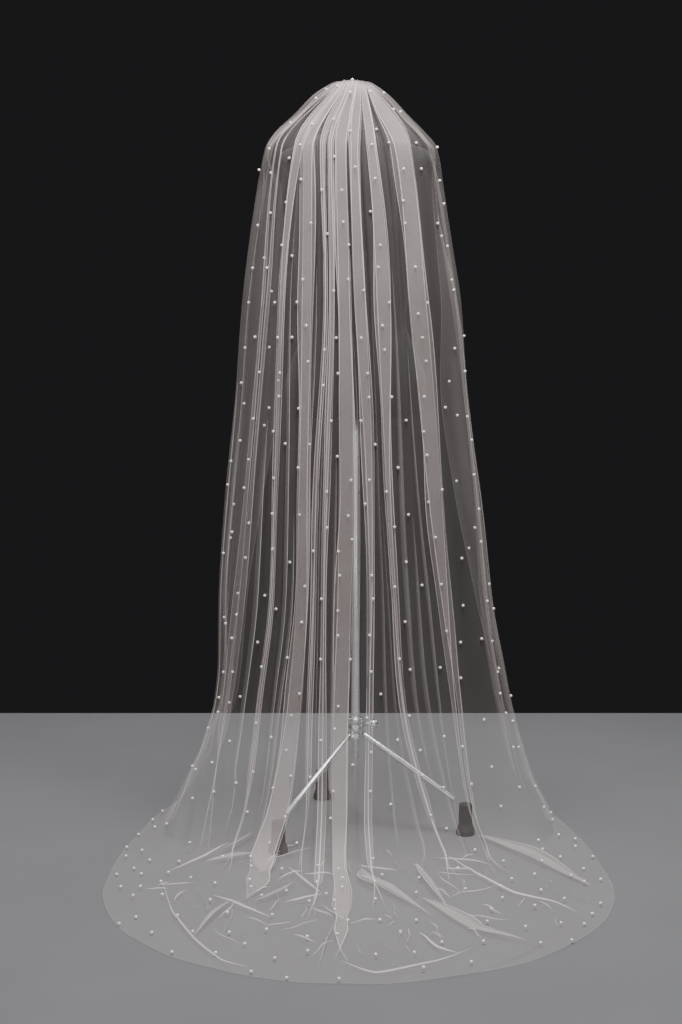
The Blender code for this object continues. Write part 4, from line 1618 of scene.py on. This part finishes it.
    def facing(self, grid: np.ndarray, row: int, column: int) -> Vector:
        """Find the outward normal of the cloth at one point.

        Args:
            grid: points by row and column.
            row: the point's row.
            column: the point's column.

        Returns:
            A vector of length 1.
        """
        row = min(max(row, 1), grid.shape[0] - 2)
        column = min(max(column, 1), grid.shape[1] - 2)
        across = Vector(grid[row, column + 1] - grid[row, column - 1])
        down = Vector(grid[row + 1, column] - grid[row - 1, column])
        hint = outward_hint(grid[row, column] - np.array(self.origin))
        normal = down.cross(across)
        if normal.length == 0.0:
            return hint
        normal.normalize()
        return normal if normal.dot(hint) > 0.0 else -normal

    def build(self) -> list[bpy.types.Object]:
        """Returns:
            The sheet, its edge, its pearls, its tucks and pleats, and their turned lines.
        """
        grid = self.grid()
        veil = self.weave(grid)
        edge = self.roll_edge(grid)
        pearls = self.strew_pearls(grid)
        turned = Strips()
        self.turn_folds(grid, turned)
        tucks = self.lay_tucks(turned)
        pleats = self.hang_pleats(grid, turned)
        # The turned lines of folds, tuck crests and pleat edges take the denser tulle whose lighter tone is
        # a painted highlight.
        mesh = smooth_mesh("turned_lines", turned.points, turned.faces)
        lines = link_piece("turned_lines", mesh, TURNED_TULLE_PAINTED_HIGHLIGHT, Slot.TULLE)
        return [veil, edge, pearls, tucks, pleats, lines]


def outward_hint(point: np.ndarray) -> Vector:
    """Point roughly out of the cloth: up where it lies on the floor, else away.

    Args:
        point: x, y and z from the line beside the pole.

    Returns:
        A vector of length 1.
    """
    if point[2] < LYING_HEIGHT:
        return UP.copy()
    return Vector((float(point[0]), float(point[1]), HINT_RISE)).normalized()


@dataclass
class Lathe:
    """Turns profiles into round pieces about a line of the frame."""

    steps: int = 48

    def turn(self, profile: Sequence[tuple[float, float]], place: Callable[[float, float, float], Vector]
             ) -> tuple[list[Vector], list[list[int]]]:
        """Turn a profile of radius and height.

        Args:
            profile: pairs from one end on the axis to the other.
            place: gives the frame point of a radius, an angle and a height.

        Returns:
            Points and faces of the turned piece.
        """
        points: list[Vector] = []
        rings: list[list[int]] = []
        for radius, height in profile:
            count = 1 if radius == 0.0 else self.steps
            rings.append(list(range(len(points), len(points) + count)))
            for step in range(count):
                points.append(place(radius, 2.0 * math.pi * step / self.steps, height))
        faces = []
        for low, high in zip(rings, rings[1:]):
            for step in range(self.steps):
                beside = (step + 1) % self.steps
                corners = [low[step % len(low)], low[beside % len(low)]]
                corners += [high[beside % len(high)], high[step % len(high)]]
                faces.append(list(dict.fromkeys(corners)))
        return points, faces

    def between(self, start: Vector, end: Vector) -> Callable[[float, float, float], Vector]:
        """Make a placing for profiles whose heights run along a line.

        Args:
            start: where the line begins.
            end: another point on it.

        Returns:
            A function that gives the frame point of a radius, an angle and a height.
        """
        axis = (end - start).normalized()
        side = axis.orthogonal().normalized()
        other = axis.cross(side)

        def place(radius: float, angle: float, height: float) -> Vector:
            """Place one point of the profile."""
            return start + axis * height + (side * math.cos(angle) + other * math.sin(angle)) * radius

        return place


def round_corner(radius: float, edge: float) -> list[tuple[float, float]]:
    """Return the profile of a small round edge at the start of a round piece."""
    cut = ROUND_SHARE * edge
    return [(radius - edge, 0.0), (radius - cut, cut), (radius, edge)]


def mirrored(profile: Sequence[tuple[float, float]], length: float) -> list[tuple[float, float]]:
    """Return a profile as it is at the other end of a length."""
    return [(radius, length - height) for radius, height in reversed(profile)]


@dataclass
class Fastening:
    """The satin roll that binds the gathers, and the comb under it."""

    wraps: int = 26
    wrap_steps: int = 8
    pinch: float = 0.00035
    end_power: int = 40
    end_share: float = 0.6
    round_steps: int = 24

    def build(self) -> list[bpy.types.Object]:
        """Bind the gathers with a satin roll and give the comb its plastic.

        Returns:
            The roll and the comb.
        """
        low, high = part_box("gather_band")
        radius = (high.z - low.z) / 2.0
        start = Vector((low.x, (low.y + high.y) / 2.0, (low.z + high.z) / 2.0))
        length = high.x - low.x
        steps = self.wraps * self.wrap_steps
        profile = [(0.0, 0.0)]
        for step in range(steps + 1):
            share = step / steps
            fall = math.sqrt(max(0.0, 1.0 - abs(2.0 * share - 1.0) ** self.end_power))
            rounded = min(1.0, fall + self.end_share)
            wave = 0.5 + 0.5 * math.cos(2.0 * math.pi * self.wraps * share)
            profile.append(((radius - self.pinch * wave) * rounded, length * share))
        profile.append((0.0, length))
        lathe = Lathe(self.round_steps)
        points, faces = lathe.turn(profile, lathe.between(start, start + Vector((length, 0.0, 0.0))))
        mesh = smooth_mesh("satin_roll", points, faces)
        roll = link_piece("satin_roll", mesh, BINDING, Slot.BINDING)
        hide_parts("gather_band")
        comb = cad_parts["comb"]
        dress(comb, COMB)
        return [roll, comb]


def dress(node: bpy.types.Object, finish: Finish) -> None:
    """Give a node of the frame its finish.

    Args:
        node: the frame's own piece.
        finish: what it is made of.
    """
    material = finish.make()
    if not node.material_slots:
        node.data.materials.append(material)
    for slot in node.material_slots:
        slot.material = material


@dataclass(frozen=True)
class FormRing:
    """One ring of the dress form: height, half width, depths behind and before."""

    height: float
    half_width: float
    back: float
    front: float


FORM_RINGS = (
    FormRing(0.972, 0.148, 0.092, 0.086),
    FormRing(0.980, 0.156, 0.099, 0.092),
    FormRing(1.040, 0.166, 0.106, 0.098),
    FormRing(1.110, 0.146, 0.094, 0.088),
    FormRing(1.190, 0.116, 0.074, 0.078),
    FormRing(1.270, 0.126, 0.076, 0.092),
    FormRing(1.350, 0.146, 0.084, 0.120),
    FormRing(1.420, 0.142, 0.088, 0.106),
    FormRing(1.480, 0.138, 0.088, 0.084),
    FormRing(1.525, 0.160, 0.080, 0.068),
    FormRing(1.553, 0.177, 0.068, 0.056),
    FormRing(1.572, 0.168, 0.060, 0.046),
    FormRing(1.595, 0.116, 0.054, 0.040),
    FormRing(1.622, 0.066, 0.048, 0.038),
    FormRing(1.660, 0.049, 0.043, 0.039),
    FormRing(1.705, 0.045, 0.042, 0.040),
    FormRing(1.711, 0.043, 0.040, 0.038),
)


@dataclass
class DressForm:
    """The padded torso in black jersey, its sewn seams and the cap of its neck."""

    columns: int = 72
    row_height: float = 0.007
    seams: tuple[float, ...] = (0.0, 0.32, 0.5, 0.68, 1.0, 1.32, 1.5, 1.68)
    seam_depth: float = 0.0012
    seam_half: float = 0.0028
    shrink: float = 0.985
    least_width: float = 0.05

    def surface(self) -> tuple[list[Vector], list[list[int]]]:
        """Loft the torso through its rings, with seams down its panels.

        Returns:
            Points and faces of the torso.
        """
        low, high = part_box("dress_form")
        centre_x = (low.x + high.x) / 2.0
        pole_low, pole_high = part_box("pole")
        centre_y = (pole_low.y + pole_high.y) / 2.0
        heights = [ring.height for ring in FORM_RINGS]
        columns = list(zip(*((ring.half_width, ring.back, ring.front) for ring in FORM_RINGS)))
        count = int((heights[-1] - heights[0]) / self.row_height)
        points: list[Vector] = []
        for row in range(count + 1):
            height = heights[0] + (heights[-1] - heights[0]) * row / count
            width, back, front = (monotone(heights, values, height) for values in columns)
            for column in range(self.columns):
                turn = 2.0 * math.pi * column / self.columns
                depth = front if math.sin(turn) > 0.0 else back
                reach = self.shrink - self.seam(turn, width) / max(width, self.least_width)
                x = width * math.cos(turn) * reach
                y = depth * math.sin(turn) * reach
                points.append(Vector((centre_x + x, centre_y + y, height)))
        faces = [list(range(self.columns))[::-1]]
        for row in range(count):
            for column in range(self.columns):
                beside = (column + 1) % self.columns
                base = row * self.columns
                faces.append([base + column, base + beside,
                              base + self.columns + beside, base + self.columns + column])
        faces.append([count * self.columns + column for column in range(self.columns)])
        return points, faces

    def seam(self, turn: float, width: float) -> float:
        """Find how deep the panel seams pull in at one angle.

        Args:
            turn: the angle round the torso.
            width: half width of the torso at this height.

        Returns:
            The depth, in metres.
        """
        nearest = min(
            abs((turn - place * math.pi + math.pi) % (2.0 * math.pi) - math.pi) for place in self.seams
        )
        return self.seam_depth * math.exp(-((nearest * width / self.seam_half) ** 2))

    def build(self) -> list[bpy.types.Object]:
        """Cover the torso and finish its cap.

        Returns:
            The torso and the cap.
        """
        points, faces = self.surface()
        mesh = smooth_mesh("jersey_torso", points, faces)
        mesh.polygons[0].use_smooth = False
        mesh.polygons[len(faces) - 1].use_smooth = False
        torso = link_piece("jersey_torso", mesh, JERSEY, Slot.JERSEY)
        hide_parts("dress_form")
        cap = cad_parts["neck_cap"]
        dress(cap, CAP)
        return [torso, cap]


@dataclass
class Stand:
    """The chromed pole, hub, clamp knob and legs, and the rubber feet."""

    round_end: float = 0.0012
    hub_edge: float = 0.0025
    hub_groove: float = 0.0012
    groove_places: tuple[float, ...] = (0.3, 0.7)
    groove_section: tuple[tuple[float, float], ...] = ((-1.0, 0.0), (-0.5, 1.0), (0.5, 1.0), (1.0, 0.0))
    stem_radius: float = 0.0045
    knob_rings: int = 12
    leg_radius: float = 0.0065
    leg_gap_share: float = 0.5
    leg_reach: float = 0.235
    leg_end_height: float = 0.082
    leg_angles: tuple[tuple[str, float], ...] = (("right", -12.0), ("left", -132.0), ("front", 108.0))

    def plate(
        self, name: str, node: str, start: Vector, end: Vector, profile: Sequence[tuple[float, float]]
    ) -> bpy.types.Object:
        """Turn one chromed piece in place of its solid.

        Args:
            name: the piece's name.
            node: the solid that it replaces.
            start: where its axis begins.
            end: a point further along the axis.
            profile: pairs of radius and distance along the axis.

        Returns:
            The piece.
        """
        lathe = Lathe()
        points, faces = lathe.turn(profile, lathe.between(start, end))
        piece = link_piece(name, smooth_mesh(name, points, faces), CHROME, Slot.CHROME)
        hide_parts(node)
        return piece

    def tube_profile(self, radius: float, length: float) -> list[tuple[float, float]]:
        """Return the profile of a closed tube with small round ends."""
        corner = round_corner(radius, self.round_end)
        return [(0.0, 0.0), *corner, *mirrored(corner, length), (0.0, length)]

    def build(self) -> list[bpy.types.Object]:
        """Plate the metal and blacken the feet.

        Returns:
            All pieces of the stand.
        """
        low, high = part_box("pole")
        foot = Vector(((low.x + high.x) / 2.0, (low.y + high.y) / 2.0, low.z))
        radius = (high.x - low.x) / 2.0
        tube = self.tube_profile(radius, high.z - low.z)
        pieces = [self.plate("chromed_pole", "pole", foot, foot + UP, tube)]
        pieces.append(self.turn_hub(foot, radius))
        pieces.append(self.turn_knob())
        hub_low, hub_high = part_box("hub")
        hub_radius = (hub_high.x - hub_low.x) / 2.0
        hub_height = (hub_low.z + hub_high.z) / 2.0
        slope = (hub_height - self.leg_end_height) / self.leg_reach
        for name, angle in self.leg_angles:
            turn = math.radians(angle)
            way = Vector((math.cos(turn), math.sin(turn), -slope))
            centre = Vector((foot.x, foot.y, hub_height))
            start = centre + way * (hub_radius + self.leg_radius * self.leg_gap_share)
            end = centre + way * self.leg_reach
            profile = self.tube_profile(self.leg_radius, (end - start).length)
            pieces.append(self.plate(f"chromed_leg_{name}", f"leg_{name}", start, end, profile))
            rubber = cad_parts[f"foot_{name}"]
            dress(rubber, RUBBER)
            pieces.append(rubber)
        return pieces

    def turn_hub(self, foot: Vector, bore: float) -> bpy.types.Object:
        """Turn the hub as a collar with two grooves.

        Args:
            foot: bottom of the pole.
            bore: radius of the pole.

        Returns:
            The hub.
        """
        low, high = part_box("hub")
        radius, length = (high.x - low.x) / 2.0, high.z - low.z
        corner = round_corner(radius, self.hub_edge)
        profile = [(bore, 0.0), *corner]
        for share in self.groove_places:
            for step, depth in self.groove_section:
                profile.append((radius - self.hub_groove * depth, length * share + self.hub_groove * step))
        profile += [*mirrored(corner, length), (bore, length), (bore, 0.0)]
        start = Vector((foot.x, foot.y, low.z))
        return self.plate("chromed_hub", "hub", start, start + UP, profile)

    def turn_knob(self) -> bpy.types.Object:
        """Turn the ball knob of the clamp and its stem.

        Returns:
            The knob.
        """
        low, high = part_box("clamp_knob")
        radius = (high.z - low.z) / 2.0
        reach = high.x - low.x
        start = Vector((low.x, (low.y + high.y) / 2.0, (low.z + high.z) / 2.0))
        neck = math.pi - math.asin(self.stem_radius / radius)
        profile = [(0.0, 0.0), (self.stem_radius, 0.0)]
        for step in range(self.knob_rings, -1, -1):
            turn = neck * step / self.knob_rings
            profile.append((radius * math.sin(turn), reach - radius + radius * math.cos(turn)))
        return self.plate("chromed_knob", "clamp_knob", start, start + Vector((1.0, 0.0, 0.0)), profile)


@dataclass(frozen=True)
class SoftLight:
    """A square light: its place, what it points at, its side and its watts."""

    name: str
    place: tuple[float, float, float]
    aim: tuple[float, float, float]
    size: float
    power: float

    def hang(self) -> None:
        """Hang the light, out of the camera's sight."""
        lamp = bpy.data.lights.new(self.name, "AREA")
        lamp.size = self.size
        lamp.energy = self.power
        light = bpy.data.objects.new(self.name, lamp)
        light.location = self.place
        way = Vector(self.aim) - Vector(self.place)
        light.rotation_euler = way.to_track_quat("-Z", "Y").to_euler()
        light.visible_camera = False
        bpy.context.scene.collection.objects.link(light)


MIDDLE = (0.0, 0.0, 0.9)
LIGHTS = (
    SoftLight("key_left", (-2.3, -2.6, 2.7), MIDDLE, 1.8, 16.0),
    SoftLight("fill_right", (2.4, -2.4, 2.2), MIDDLE, 1.8, 9.0),
    SoftLight("front", (0.3, -4.7, 1.35), MIDDLE, 2.6, 18.0),
    SoftLight("low_left", (-1.5, -3.0, 0.45), (0.0, 0.0, 0.4), 0.8, 7.0),
    SoftLight("low_right", (1.6, -2.9, 0.45), (0.0, 0.0, 0.4), 0.8, 5.5),
    SoftLight("top", (0.1, -0.30, 3.4), (0.0, -0.35, 0.0), 1.6, 175.0),
    SoftLight("rim_left", (-2.0, 1.9, 2.2), MIDDLE, 1.2, 20.0),
    SoftLight("rim_right", (2.0, 1.9, 2.2), MIDDLE, 1.2, 20.0),
)


@dataclass
class Studio:
    """Pale floor, dim room and the camera, with the soft lights hung round them."""

    centre_line: Vector
    floor_near: float = -3.2
    floor_far: float = 1.55
    floor_half_width: float = 3.2
    sensor_height: float = 36.0
    picture_height: float = 1024.0
    focal_pixels: float = 1808.0
    camera_height: float = 1.24
    camera_distance: float = 4.16
    camera_side: float = -0.026
    camera_drop: float = 6.7
    see_through_layers: int = 64
    world_tone: str = "#2A2A2C"
    world_strength: float = 0.55

    def lay_floor(self) -> None:
        """Lay a pale floor that ends a little behind the object."""
        near, far, half = self.floor_near, self.floor_far, self.floor_half_width
        corners = [(-half, near, 0.0), (half, near, 0.0), (half, far, 0.0), (-half, far, 0.0)]
        mesh = bpy.data.meshes.new("studio_floor")
        mesh.from_pydata(corners, [], [(0, 1, 2, 3)])
        floor = bpy.data.objects.new("studio_floor", mesh)
        bpy.context.scene.collection.objects.link(floor)
        mesh.materials.append(PAPER.make())
        floor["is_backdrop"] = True

    def set_world(self) -> None:
        """Fill the room with a dim even grey."""
        world = bpy.data.worlds.new("studio")
        world.use_nodes = True
        background = world.node_tree.nodes["Background"]
        background.inputs["Color"].default_value = linear(self.world_tone)
        background.inputs["Strength"].default_value = self.world_strength
        bpy.context.scene.world = world

    def set_camera(self) -> None:
        """Stand the camera where the photograph was taken."""
        lens = bpy.data.cameras.new("camera")
        lens.sensor_fit = "VERTICAL"
        lens.sensor_height = self.sensor_height
        lens.lens = self.focal_pixels / self.picture_height * lens.sensor_height
        camera = bpy.data.objects.new("camera", lens)
        camera.location = self.centre_line + Vector(
            (self.camera_side, -self.camera_distance, self.camera_height)
        )
        camera.rotation_euler = (math.radians(90.0 - self.camera_drop), 0.0, 0.0)
        bpy.context.scene.collection.objects.link(camera)
        bpy.context.scene.camera = camera

    def build(self) -> None:
        """Set up the whole studio."""
        self.set_world()
        self.lay_floor()
        self.set_camera()
        for light in LIGHTS:
            light.hang()
        bpy.context.scene.cycles.transparent_max_bounces = self.see_through_layers


def write_sizes() -> None:
    """Make the frame's box and the dressed model's box into plain lists, and drop them."""
    boxes = [CAD_BOX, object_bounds()]
    [[[float(value) for value in corner] for corner in box] for box in boxes]


def main() -> None:
    """Build every sub-assembly in order and report its pieces."""
    logging.basicConfig(level=logging.INFO, format="%(name)s %(message)s")
    pole_low, pole_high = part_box("pole")
    pole = (pole_low + pole_high) / 2.0
    centre_line = Vector((pole.x - POLE_OFFSET, pole.y, 0.0))
    Studio(centre_line).build()
    for assembly in (Stand(), DressForm(), Fastening(), Veil(centre_line)):
        for piece in assembly.build():
            LOG.info("%s: %s", type(assembly).__name__, piece.name)
    write_sizes()


if __name__ == "__main__":
    main()
